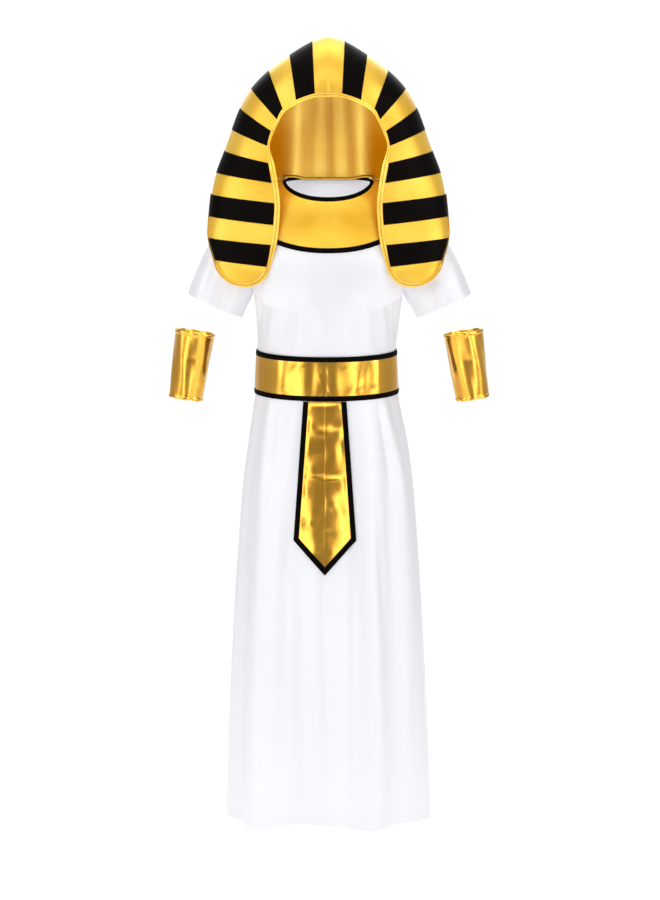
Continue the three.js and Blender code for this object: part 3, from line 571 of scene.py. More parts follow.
# Soft creases: place round the body, z, half width in degrees, half length, height, lean in degrees a mm
CREASES = [
    (58, -232, 5, 42, 1.6, 0.10), (72, -244, 4, 30, -1.3, 0.05), (40, -225, 5, 34, 1.6, 0.14),
    (24, -218, 4, 26, -1.4, 0.16), (112, -236, 5, 40, 1.5, -0.08), (126, -228, 4, 32, -1.3, -0.10),
    (141, -222, 5, 36, 1.6, -0.15), (157, -214, 4, 26, -1.4, -0.16), (92, -215, 7, 40, 0.9, 0.02),
    (84, -160, 6, 34, -0.8, 0.05), (101, -165, 6, 36, 0.9, -0.05), (66, -190, 6, 50, -0.8, 0.1),
    (118, -186, 6, 50, -0.9, -0.1), (30, -200, 4, 40, 1.2, 0.2), (150, -198, 4, 40, 1.2, -0.2),
    (31, -470, 4, 70, 1.8, 0.02), (44, -430, 3, 50, -1.4, 0.02), (57, -640, 4, 120, -1.6, 0.01),
    (73, -760, 3.5, 140, 1.5, -0.01), (88, -700, 3.5, 90, -1.2, 0.01), (104, -820, 4, 150, 1.6, 0.008),
    (122, -600, 4, 110, 1.6, -0.015), (116, -440, 3, 60, 1.2, -0.02), (128, -900, 3.5, 110, -1.5, 0.01),
    (145, -720, 4, 130, 1.6, 0.01), (160, -560, 4, 90, -1.5, -0.02), (133, -430, 3, 60, -1.4, -0.02),
    (38, -860, 4, 130, 1.5, -0.01), (12, -640, 4, 110, 1.3, 0.01), (64, -920, 3, 100, -1.2, 0.01),
    (97, -960, 3, 80, -1.1, 0.0), (203, -520, 5, 90, 1.6, 0.02), (226, -700, 4, 140, 1.5, -0.01),
    (246, -860, 4, 120, -1.4, 0.01), (268, -620, 4, 120, 1.4, 0.01), (288, -780, 4, 150, -1.4, -0.01),
    (308, -560, 5, 90, 1.6, 0.01), (330, -740, 4, 130, 1.5, 0.01), (350, -880, 4, 110, -1.3, 0.0),
    (250, -230, 6, 40, 1.4, 0.05), (290, -228, 6, 38, 1.4, -0.05), (270, -215, 6, 46, -1.1, 0.0),
    (226, -210, 5, 40, -1.2, 0.1), (314, -212, 5, 40, -1.2, -0.1),
]
# Broad waves for the skirt's long soft lights, with the same values in the same order
LONG_WAVES = [
    (138, -690, 8, 260, 2.6, 0.004), (156, -660, 7, 230, -2.2, 0.006), (116, -640, 8, 250, -2.6, 0.003),
    (94, -700, 7, 270, 2.2, 0.0), (78, -640, 7, 250, -2.2, -0.002), (62, -690, 7, 270, 2.8, -0.004),
    (46, -640, 7, 250, -2.6, -0.006), (30, -660, 7, 240, 2.0, -0.006), (14, -700, 6, 220, -1.6, -0.004),
    (168, -720, 6, 220, 1.6, 0.004), (232, -640, 8, 230, 2.4, 0.004), (252, -660, 7, 220, -2.4, 0.0),
    (272, -640, 8, 240, 2.6, 0.0), (291, -660, 7, 220, -2.4, 0.0), (310, -640, 8, 230, 2.4, -0.004),
    (210, -660, 7, 200, -2.2, 0.004), (334, -680, 7, 200, -2.2, -0.004),
]

# How far down the gathers begin and end, where the belt holds the cloth smooth, and where the hem drops
GATHERS_BEGIN, GATHERS_END = (338, 362), (375, 520)
BELT_ABOVE, BELT_BELOW = (256, 266), (348, 362)
HEM_DROPS = (700, 1050)


def body_rings(at, is_front, soft=True, columns=COLUMNS):
    """Points of the front or back panel at fractional rows of the pattern, as a grid in millimetres."""
    at = np.asarray(at, float)
    side = np.zeros((len(at), 3))
    middle = np.zeros((len(at), 2))
    mid = np.full(len(at), MIDDLE_X)
    bend = np.full(len(at), YOKE_BEND)
    sign = -1 if is_front else 1
    pick = [0, 1] if is_front else [2, 3]
    yoke = at <= ROW_TIP
    if yoke.any():
        row = spline(YOKE_ROWS, at[yoke])
        side[yoke] = np.stack([row[:, 0], 0 * row[:, 0], row[:, 1]], axis=1)
        middle[yoke] = row[:, [2, 3]] if is_front else row[:, [4, 5]]
    arm = (at > ROW_TIP) & (at <= ROW_ARMPIT)
    if arm.any():
        step = at[arm] - ROW_TIP
        turn = math.pi * step / ARMHOLE_STEPS
        up = ARM_LENGTH / 2 * np.cos(turn)
        centre = (SHOULDER_TIP + ARMPIT) / 2
        deep = sign * ARMHOLE_DEPTH * np.sin(turn)
        side[arm] = np.stack([centre[0] + up * ARM_UP[0], deep, centre[1] + up * ARM_UP[1]], axis=1)
        middle[arm] = spline(ARM_ROWS, step)[:, pick]
    body = at > ROW_ARMPIT
    if body.any():
        row = spline(BODY_ROWS, at[body] - ROW_ARMPIT)
        side[body] = np.stack([row[:, 0], 0 * row[:, 0], row[:, 2]], axis=1)
        mid[body] = row[:, 1]
        bend[body] = BODY_BEND
        dip = row[:, 5] if is_front else row[:, 5] * np.where(at[body] < ROW_ARMPIT + 1, 0.8, 0.6)
        middle[body] = np.stack([row[:, 3] if is_front else row[:, 4], row[:, 2] - dip], axis=1)
    turn = math.pi * np.arange(columns + 1) / columns
    power = (2 / bend)[:, None]
    across, deep = np.cos(turn)[None], np.abs(np.sin(turn))[None]
    x = side[:, :1] * np.sign(across) * np.abs(across) ** power
    y = side[:, 1:2] + (middle[:, :1] - side[:, 1:2]) * deep**power
    z = side[:, 2:] + (middle[:, 1:] - side[:, 2:]) * deep**DROP_BEND
    angle = np.degrees(turn)[None] if is_front else 360 - np.degrees(turn)[None]
    out = np.zeros_like(x)
    for place, wide, high, begin, full in FOLDS:
        out += high * round_bell(angle, place, wide) * smoothstep(-z, -begin, -full)
    gathered = smoothstep(-z, *GATHERS_BEGIN) * (1 - smoothstep(-z, *GATHERS_END))
    for place, wide, high in GATHERS:
        out += high * round_bell(angle, place, wide) * gathered
    if soft:
        free = 1 - smoothstep(-z, *BELT_ABOVE) * (1 - smoothstep(-z, *BELT_BELOW))
        for place, height, wide, long, high, lean in CREASES + LONG_WAVES:
            leaning = place + lean * (z - height)
            soft_fold = round_bell(angle, leaning, wide) * bell(z, height, long)
            out += CREASE_GAIN * high * soft_fold * free * deep**0.3
    drop = np.zeros_like(x)
    for place, wide, low in HEM_LINE:
        drop += low * round_bell(angle, place, wide)
    z = z + drop * smoothstep(-z, *HEM_DROPS)
    inside = 0.9 * (deep > 1e-6)
    past = (np.abs(x) - ARMPIT[0]) * ARM_UP[1] - (z - ARMPIT[1]) * ARM_UP[0]
    past = past + inside * smoothstep(deep, 0, 0.13)
    back = np.where((z > ARMPIT[1] - 1) & (past > 0), past, 0)
    x = x - np.sign(x) * back * ARM_UP[1]
    z = z + back * ARM_UP[0]
    length = np.maximum(np.hypot(x, y), 1e-6)
    return np.stack([mid[:, None] + x + out * x / length, y + out * y / length, z], axis=-1)


def panel_normals(points, at):
    """Normals of a panel, flat across its side seams and its armholes."""
    towards = points * np.array([1, 1, 0])
    normals = grid_normals(points, False, towards)
    arm = (at > ROW_TIP + 0.01) & (at < ROW_ARMPIT - 0.01)
    for j, sign in ((0, 1), (-1, -1)):
        across = np.array([sign * ARM_UP[1], 0, -ARM_UP[0]])
        edge = normals[:, j]
        flat = edge - (edge @ across)[:, None] * across
        level = edge * np.array([1, 0, 1])
        normals[:, j] = unit(np.where(arm[:, None], flat, level))
    return normals


def row_stops(start, end, pitch):
    """Fractional rows about pitch millimetres apart down the front."""
    fine = np.linspace(start, end, FINE_STEPS)
    line = body_rings(fine, True, False)[:, FRONT_MIDDLE]
    edge = body_rings(fine, True, False)[:, COLUMNS // 8]
    run = np.concatenate([[0], np.cumsum(np.maximum(step_lengths(line), step_lengths(edge)))])
    count = max(2, int(round(run[-1] / pitch)) + 1)
    return np.interp(np.linspace(0, run[-1], count), run, fine)


def add_robe():
    """Front and back, each a bodice and a skirt that meet under the belt."""
    for is_front, end in ((True, "front"), (False, "back")):
        for part, first, last in (
            ("bodice_", ROW_COLLAR_TOP + NEAR, ROW_WAIST),
            ("skirt_", ROW_WAIST, ROW_HEM),
        ):
            stops = row_stops(first, last, ROBE_PITCH)
            points = body_rings(stops, is_front)
            normals = panel_normals(points, stops)
            for j in (0, COLUMNS):
                flat = np.abs(points[:, j, 1]) < 0.05
                points[flat, j, 1] = -TOUCH if is_front else TOUCH
            cloth_piece(part + end + "_cloth", points, normals, -ROBE_WALL, 0, WHITE_SATIN,
                        nodes=[part + end], slot="white_cloth", held="hung")


add_robe()


def half_round(start, end, side, pitch, columns=COLUMNS):
    """Grid and normals of what goes round half the body, from the front middle to the back middle."""
    stops = row_stops(start, end, pitch)
    middle = columns // 2
    points, normals = [], []
    for is_front in (True, False):
        grid = body_rings(stops, is_front, False, columns)
        out = panel_normals(grid, stops)
        if side == "right":
            part = slice(middle, None, -1) if is_front else slice(1, middle + 1)
        else:
            part = slice(middle, None) if is_front else slice(columns - 1, middle - 1, -1)
        points.append(grid[:, part])
        normals.append(out[:, part])
    points, normals = np.concatenate(points, axis=1), np.concatenate(normals, axis=1)
    for j in (0, -1):
        points[:, j, 0] += TOUCH if side == "right" else -TOUCH
        normals[:, j, 0] = 0
        normals[:, j] = unit(normals[:, j])
    return points, normals


# Neck binding, collar and belt


BODICE = ["bodice_front_cloth", "bodice_back_cloth"]
BELT_COLUMNS = 144
THREAD_LIFT = 0.12
# Wall of each piece, from its inner to its outer face over the robe; tapes rise by a further round
NECK_TAPE, NECK_ROUND = (-1.9, 1.3), 0.9
COLLAR_WALL, COLLAR_TAPE, BELT_TAPE, TAPE_ROUND = (SEAM, 1.4), 1.2, 1.7, 1.0
BELT_LIFT, BELT_WALL = 0.8, (0.2, 1.1)


def rounded(rows, high):
    """Height of a strip over its width, low at its edges."""
    return (np.sin(np.linspace(0, math.pi, rows)) ** 0.7 * high)[:, None]


def sewn_row(points, normals, high, row):
    """Line of stitches along one row of a strip, just above its cloth."""
    return points[row] + normals[row] * (high[row] + THREAD_LIFT)


def add_neck_binding():
    """Black tape in one ring round the neck."""
    stops = row_stops(ROW_NECK, ROW_COLLAR_TOP - NEAR, TAPE_PITCH)
    grids = []
    for is_front in (True, False):
        grid = body_rings(stops, is_front, False)
        part = slice(None) if is_front else slice(COLUMNS - 1, 0, -1)
        grids.append((grid[:, part], panel_normals(grid, stops)[:, part]))
    points, normals = (np.concatenate(both, axis=1) for both in zip(*grids))
    inner, outer = NECK_TAPE
    high = outer + rounded(len(stops), NECK_ROUND)
    cloth_piece("neck_binding_tape", points, normals, inner, high, BLACK_TAPE, closed=True,
                nodes=["neck_binding"], slot="black_binding")


add_neck_binding()

# Soft marks on the collar: run from the front middle, down, half width, half length, height, lean
COLLAR_CREASES = {
    "left": [
        (0, 22, 2.2, 40, -0.5, 0), (22, 30, 7, 30, 0.5, 0.1), (48, 18, 6, 22, -0.5, 0.3),
        (70, 36, 7, 20, 0.6, 0.2),
    ],
    "right": [
        (0, 22, 2.2, 40, -0.5, 0), (26, 34, 8, 26, 0.6, 0.1), (52, 24, 6, 22, -0.5, 0.3),
        (76, 34, 7, 20, 0.5, 0.2),
    ],
}
# Wrinkles of the belt: run from the front middle, down, half width, half length, height, lean
BELT_WRINKLES = {
    "left": [
        (0, 27, 1.6, 40, -0.25, 0), (5, 12, 3.2, 7, 0.6, 0.3), (8, 30, 3.5, 8, 0.5, -0.4),
        (5, 52, 3.4, 8, 0.7, 0.35), (24, 26, 8, 34, -1.3, 0.05), (76, 28, 15, 40, 2.2, 0.05),
        (50, 10, 8, 9, 0.8, 0.6), (108, 24, 8, 34, -0.9, 0), (122, 28, 6, 30, -0.9, 0),
        (40, 8, 9, 4, 0.5, 0.5), (64, 47, 12, 4, -0.5, 0.8), (150, 28, 9, 40, 0.9, 0),
        (186, 28, 7, 34, -0.8, 0.1), (222, 26, 10, 40, 1.0, 0), (255, 30, 8, 34, -0.8, 0),
        (284, 28, 8, 40, 0.8, 0),
    ],
    "right": [
        (0, 27, 1.6, 40, -0.25, 0), (4, 16, 3.2, 6, 0.5, -0.3), (6, 44, 3.6, 8, 0.6, 0.4),
        (13, 34, 10, 30, 1.4, 0.05), (46, 44, 9, 9, 0.7, -0.8), (64, 28, 9, 30, -1.4, -0.1),
        (88, 30, 9, 34, 1.0, 0), (112, 26, 7, 30, -0.8, 0), (36, 10, 10, 4, 0.5, -0.6),
        (70, 46, 12, 4, -0.5, -0.8), (140, 28, 9, 40, 0.9, 0), (176, 28, 7, 34, -0.9, -0.1),
        (210, 30, 10, 40, 0.9, 0), (246, 26, 8, 34, -0.9, 0), (280, 28, 8, 40, 0.9, 0),
    ],
}


def add_collar(side):
    """Half of the gold collar with its black edge; gives the line of the edge's stitches."""
    points, normals = half_round(ROW_COLLAR_TOP + NEAR, ROW_COLLAR_EDGE - NEAR, side, COLLAR_PITCH)
    points = creased(points, normals, COLLAR_CREASES[side])
    cloth_piece("collar_" + side + "_satin", points, normals, *COLLAR_WALL, COLLAR_SATIN,
                nodes=["collar_" + side], slot="gold_satin", held="laid", rests_on=BODICE)
    points, normals = half_round(ROW_COLLAR_EDGE + NEAR, ROW_COLLAR_END, side, TAPE_PITCH)
    high = COLLAR_TAPE + rounded(len(points), TAPE_ROUND)
    cloth_piece("collar_edge_" + side + "_tape", points, normals, SEAM, high, BLACK_TAPE,
                nodes=["collar_edge_" + side], slot="black_binding", held="laid", rests_on=BODICE[:1])
    return sewn_row(points, normals, high, 1)


def add_belt(side):
    """Half of the belt with its two black tapes; gives the lines of the tapes' stitches."""
    top, bottom = ROW_BELT_TOP + 1, ROW_BELT_TOP + 3
    points, normals = half_round(top + NEAR, bottom - NEAR, side, BELT_PITCH, BELT_COLUMNS)
    points = creased(points, normals, BELT_WRINKLES[side])
    belt = cloth_piece("belt_" + side + "_foil", points + normals * BELT_LIFT, normals, *BELT_WALL, GOLD_FOIL,
                       nodes=["belt_" + side], slot="gold_lame", rests_on=BODICE)
    belt.visible_glossy = False
    lines = []
    edges = [("top", top - 1, top - NEAR, -2), ("bottom", bottom + NEAR, bottom + 1, 1)]
    for edge, start, end, sewn in edges:
        node = "belt_" + edge + "_edge_" + side
        points, normals = half_round(start, end, side, TAPE_PITCH)
        high = BELT_TAPE + rounded(len(points), TAPE_ROUND)
        cloth_piece(node + "_tape", points, normals, SEAM, high, BLACK_TAPE, nodes=[node],
                    slot="black_binding", rests_on=BODICE)
        lines.append(sewn_row(points, normals, high, sewn))
    return lines


black_rows = []
for side in SIDES:
    black_rows += [add_collar(side), *add_belt(side)]

# Sleeves

SLEEVE_HEM_OUTER = np.array([232.0, -175.0])
SLEEVE_HEM_INNER = np.array([142.0, -214.5])
SLEEVE_CROWN = np.array([197.0, -76.0])
SLEEVE_HEM_DEPTH = 45.0
SLEEVE_SPREAD = {"left": 0, "right": 5}
SLEEVE_ROWS, SLEEVE_COLUMNS = 34, 80
SLEEVE_STITCHED = 31
# Folds of the sleeve: run from its outer side over the front, down, half width, half length, height, lean
SLEEVE_FOLDS = {
    "left": [
        (20, 40, 7, 46, 1.4, 0.10), (44, 60, 7, 50, -1.5, 0.10), (70, 36, 8, 44, 1.6, -0.30),
        (94, 26, 7, 36, -1.6, -0.55), (112, 48, 8, 34, 1.6, -0.40), (128, 20, 6, 22, -1.2, -0.5),
        (60, 108, 9, 30, 1.2, 0.1), (100, 100, 9, 34, 1.4, 0.1), (84, 104, 6, 30, -1.2, 0.0),
        (190, 60, 9, 46, 1.4, 0.2), (222, 50, 8, 44, -1.3, 0.1), (252, 60, 9, 50, 1.2, 0),
    ],
    "right": [
        (24, 46, 7, 44, 1.4, 0.12), (50, 58, 8, 46, -1.5, 0.05), (76, 40, 8, 44, 1.5, -0.35),
        (98, 30, 7, 34, -1.5, -0.5), (116, 50, 8, 36, 1.6, -0.35), (132, 22, 6, 22, -1.2, -0.5),
        (40, 112, 9, 30, 1.1, 0.1), (90, 104, 9, 32, 1.4, 0.1), (66, 100, 6, 30, -1.2, 0.0),
        (188, 56, 9, 46, 1.3, 0.2), (218, 54, 8, 44, -1.3, 0.1), (250, 62, 9, 50, 1.3, 0),
    ],
}


def sleeve_grid(side):
    """Grid and normals of a sleeve from its armhole to its hem."""
    sign = SIDES[side]
    spread = SLEEVE_SPREAD[side]
    t = np.linspace(0, 1, SLEEVE_ROWS)[:, None]
    crown = SLEEVE_CROWN + np.array([spread / 2, 0])
    hem_outer = SLEEVE_HEM_OUTER + np.array([spread, 0])
    hem_inner = SLEEVE_HEM_INNER + np.array([spread, 0])
    outer = mix(mix(SHOULDER_TIP, crown, t), mix(crown, hem_outer, t), t)
    inner = mix(ARMPIT, hem_inner, t)
    turn = 2 * math.pi * np.arange(SLEEVE_COLUMNS)[None] / SLEEVE_COLUMNS
    ripple = 1 + 0.035 * t * np.sin(3 * turn + 0.7)
    x = (inner[:, :1] + outer[:, :1]) / 2 + (outer[:, :1] - inner[:, :1]) / 2 * np.cos(turn)
    z = (inner[:, 1:] + outer[:, 1:]) / 2 + (outer[:, 1:] - inner[:, 1:]) / 2 * np.cos(turn)
    y = -mix(ARMHOLE_DEPTH, SLEEVE_HEM_DEPTH, t) * np.sin(turn) * ripple
    off = (SEAM + 0.1) * (t == 0)
    points = np.stack([MIDDLE_X + sign * (x + off * ARM_UP[1]), y, z - off * ARM_UP[0]], axis=-1)
    normals = grid_normals(points, True, points * np.array([0, 1, 0]))
    across = np.array([sign * ARM_UP[1], 0, -ARM_UP[0]])
    normals[0] = unit(normals[0] - (normals[0] @ across)[:, None] * across)
    points[1:] = creased(points, normals, SLEEVE_FOLDS[side], True)[1:]
    return points, grid_normals(points, True, points * np.array([0, 1, 0]))


def add_sleeve(side):
    """Sleeve; gives the line of its hem's stitches."""
    points, normals = sleeve_grid(side)
    cloth_piece("sleeve_" + side + "_cloth", points, normals, -ROBE_WALL, 0, WHITE_SATIN, closed=True,
                nodes=["sleeve_" + side], slot="white_cloth", held="hung", rests_on=BODICE[:1])
    line = points[SLEEVE_STITCHED] + normals[SLEEVE_STITCHED] * THREAD_LIFT
    return np.concatenate([line, line[:1]])


sleeve_rows = [add_sleeve(side) for side in SIDES]

# Tab

TAB_X, TAB_TOP, TAB_CORNER, TAB_TIP = -4.5, -346.4, -574.0, -630.5
TAB_TOP_HALF, TAB_CORNER_HALF, TAB_BORDER = 35.6, 51.7, 8.6
TAB_INNER_CORNER, TAB_INNER_TIP = TAB_CORNER + 4, TAB_TIP + 14.5
TAB_BRIDGE = (-6, -3, 0, 3, 6)
TAB_LIFT, TAB_WALL, TAB_TAPE, TAB_ROUND = 0.9, (-0.3, 0.5), (0.1, 1.5), 0.9
# Points down and across half of the tab, then down, round the tip of and across half of its border
TAB_ROWS, TAB_COLUMNS = 120, 22
BORDER_ROWS, BORDER_TIP_ROWS, BORDER_COLUMNS = 72, 24, 7
# Creases of the tab over both halves: aside, z, half width, half height, height
TAB_CREASES = [
    (0, -354, 40, 5, 0.8), (-6, -396, 18, 9.5, 1.7), (15, -385, 9, 9, -1.0), (-21, -383, 8, 10, 1.2),
    (24, -398, 8, 10, 0.8), (-10, -428, 20, 12, -1.0), (16, -432, 12, 13, 0.9), (-20, -469, 17, 4.6, 1.0),
    (17, -473, 17, 4.2, 0.9), (-2, -476, 9, 4, 0.5), (8, -462, 16, 7, -0.6), (-22, -455, 10, 10, 0.9),
    (13, -512, 12, 13, 1.8), (24, -527, 9, 12, 0.9), (-26, -545, 11, 11, 1.7), (-9, -528, 9, 14, -0.8),
    (6, -563, 15, 10, -1.0), (-13, -585, 10, 9, 0.9), (12, -594, 9, 10, 0.8), (-31, -492, 9, 16, 0.9),
    (29, -482, 9, 14, 0.8), (-28, -420, 7, 18, 0.7), (28, -424, 7, 18, -0.7),
]


def skirt_front_surface():
    """Skirt's front, for finding how far forward it lies."""
    mesh = bpy.data.objects["skirt_front_cloth"].data
    places = [vertex.co.copy() for vertex in mesh.vertices]
    return BVHTree.FromPolygons(places, [tuple(face.vertices) for face in mesh.polygons])


SKIRT_FRONT = skirt_front_surface()


def skirt_front_y(x, z):
    """Front of the skirt at a place, over a little width so that the tab bridges small folds."""
    nearest = math.inf
    for aside in TAB_BRIDGE:
        hit = SKIRT_FRONT.ray_cast(Vector(((x + aside) * MM, -0.4, z * MM)), Vector((0, 1, 0)))[0]
        if hit:
            nearest = min(nearest, hit.y / MM)
    return nearest


def tab_half(z):
    """Half of the tab's width at a height."""
    return mix(TAB_TOP_HALF, TAB_CORNER_HALF, (z - TAB_TOP) / (TAB_CORNER - TAB_TOP))


def tab_grid(sign, aside, z):
    """Points on the robe at places aside from the tab's middle."""
    points = np.empty((*aside.shape, 3))
    for place in np.ndindex(aside.shape):
        x = TAB_X + sign * aside[place]
        points[place] = (x, skirt_front_y(x, z[place]) - TAB_LIFT, z[place])
    return points


def add_tab(side):
    """Half of the tab with its black border; gives the line of the border's stitches."""
    sign = SIDES[side]
    down, across = np.linspace(0, 1, TAB_ROWS)[:, None], np.linspace(0, 1, TAB_COLUMNS)[None]
    z = mix(TAB_TOP, mix(TAB_INNER_TIP, TAB_INNER_CORNER, across), down)
    half = np.minimum(TAB_CORNER_HALF, tab_half(z))
    aside = TOUCH + across * (half - TAB_BORDER - 0.4)
    points = tab_grid(sign, aside, z)
    high = np.zeros(z.shape)
    for place, height, wide, tall, lift in TAB_CREASES:
        high += lift * bell(sign * aside, place, wide) * bell(z, height, tall)
    edge = 1 - smoothstep(across, 0.82, 1.0)
    high = high * edge * smoothstep(down, 0, 0.02) - 0.25 * bell(aside, 0, 1.2)
    points[..., 1] -= high + TAB_LIFT
    normals = grid_normals(points, False, np.array([0, -1, 0]))
    cloth_piece("tab_" + side + "_foil", points, normals, *TAB_WALL, GOLD_FOIL, nodes=["tab_" + side],
                slot="gold_lame", held="hung", rests_on=["skirt_front_cloth", "belt_left_foil"])
    t = np.linspace(0, 1, BORDER_ROWS)[:, None]
    inner_z, outer_z = mix(TAB_TOP, TAB_INNER_CORNER, t), mix(TAB_TOP, TAB_CORNER, t)
    inner_x, outer_x = tab_half(inner_z) - TAB_BORDER, tab_half(outer_z)
    s = np.linspace(0, 1, BORDER_TIP_ROWS)[1:, None]
    inner_x = np.concatenate([inner_x, mix(inner_x[-1], TOUCH, s)])
    inner_z = np.concatenate([inner_z, mix(TAB_INNER_CORNER, TAB_INNER_TIP - 0.6, s)])
    outer_x = np.concatenate([outer_x, mix(TAB_CORNER_HALF, TOUCH, s)])
    outer_z = np.concatenate([outer_z, mix(TAB_CORNER, TAB_TIP, s)])
    over = np.linspace(0, 1, BORDER_COLUMNS)[None]
    points = tab_grid(sign, mix(inner_x, outer_x, over), mix(inner_z, outer_z, over))
    normals = np.zeros_like(points)
    normals[..., 1] = -1
    inner, outer = TAB_TAPE
    high = outer + rounded(BORDER_COLUMNS, TAB_ROUND).T
    cloth_piece("tab_border_" + side + "_tape", points, normals, inner, high, BLACK_TAPE,
                nodes=["tab_border_" + side], slot="black_binding", held="hung",
                rests_on=["skirt_front_cloth"])
    return points[:, 1] + normals[:, 1] * (high[0, 1] + THREAD_LIFT)


black_rows += [add_tab(side) for side in SIDES]

# Hood

HOOD_X = 1.5
HEM_OVER_NECK, HEM_BESIDE_NECK = 15.5, 6.8
HOOD_WALL, BAND_WALL = 1.8, (0.15, 0.75)
STEPS = 8
SEAM_ROWS = [0.05, 0.16]
# Places aside between which the hem rises from its middle, steps down beside the neck and falls to the side
HEM_RISES, HEM_STEPS, HEM_FALLS = (34, 59), (70, 76.5), (95, 185)
FRONT_CELLS, BACK_CELLS = 32, 40
BACK_LAST = 8
# Stations from the crown seam round the face to the lappet tip: face edge, outer edge, back middle
HOOD_FACE = [
    (0, -88, 161), (22.3, -87, 159.5), (53, -83, 148.5), (74.9, -77, 134), (84.3, -71, 116.4),
    (94.1, -65, 97.1), (100.2, -61, 72.3), (98.8, -59, 44), (93.1, -60, 11.5), (88.9, -64, -21.3),
    (90.5, -71, -57), (94.7, -78, -89), (101.7, -84, -124.5), (107, -86, -132.4), (116, -87, -144.3),
    (131, -87, -150.8),
]
HOOD_OUTER = [
    (0, -25, 250), (26.4, -22, 241.2), (63.5, -15, 218.9), (98, -8, 193.1), (126.9, -2, 163.2),
    (145.4, 3, 131.1), (159.2, 6, 95.8), (171.6, 7, 60.5), (184.9, 4, 24.7), (192.6, -8, -10.3),
    (195.8, -24, -45.5), (196.4, -41, -79.8), (186, -57, -115.4), (180.5, -67, -128.7), (169, -76, -141.6),
    (152, -83, -150.3),
]
HOOD_BACK = [
    (0, -25, 250), (0, 10, 243), (0, 42, 222), (0, 66, 192), (0, 79, 158), (0, 82, 124), (0, 76, 88),
    (0, 59, 50), (0, 31, 11),
]
BANDS = [1, 3, 5, 7, 9, 11]
# Free edge of the rolled binding round the face, then up the lappet's outer side
BINDING_FACE = [
    (0, -83, 153.8), (22.3, -82, 153.1), (49.5, -77, 143.2), (71, -71.5, 129.3), (81.7, -64.5, 112.7),
    (90.8, -58.5, 92.6), (97, -54, 70.9), (89.1, -58, 42.6), (83.3, -61, 10), (79.7, -66, -22.4),
    (81.3, -73, -58.7), (85.3, -80, -88.4), (94.9, -86, -121.4), (100.5, -88, -137.2),
    (111.5, -88.5, -150.1), (129.5, -88, -157.2),
]
BINDING_OUTER = [
    (153.5, -84, -155.2), (172.5, -76, -145.2), (184.3, -67, -130.8), (189.2, -57, -116.6), (199, -41, -80),
    (198.2, -24, -45.5), (194.9, -8, -10.4),
]
BINDING_COLUMNS, BINDING_MIDDLE = 13, 6
BINDING_PUCKER = 6.3
# Soft dents of the hood: station, column, half stations, half columns, height
HOOD_DENTS = [
    (1.6, 9, 0.5, 7, -0.8), (2.5, 24, 0.5, 6, 0.6), (3.4, 7, 0.5, 6, -0.7), (4.6, 20, 0.6, 6, 0.7),
    (5.5, 8, 0.4, 5, 0.7), (6.5, 24, 0.6, 7, -0.7), (7.6, 10, 0.5, 6, 0.8), (8.4, 22, 0.5, 7, 0.7),
    (9.5, 8, 0.4, 6, -0.8), (10.5, 20, 0.5, 7, 0.8), (11.4, 10, 0.4, 5, -0.7), (12.6, 18, 0.5, 8, 0.8),
    (13.6, 10, 0.7, 7, -0.6), (2.5, 48, 0.7, 6, -0.5), (4.5, 56, 0.8, 6, 0.7), (6.2, 46, 0.8, 6, -0.5),
    (7.2, 60, 0.8, 6, 0.7), (5.0, 66, 1.2, 4, -0.5),
]


def mirrored_spline(table, at):
    """As spline, for an edge that runs over the middle without a corner."""
    table = np.asarray(table, float)
    before = table[1] * np.array([-1, 1, 1])
    return spline(np.concatenate([[before], table]), np.asarray(at, float) + 1)


def station_row(station):
    """Row of the hood's grid at a whole station."""
    return station * STEPS + (len(SEAM_ROWS) if station else 0)


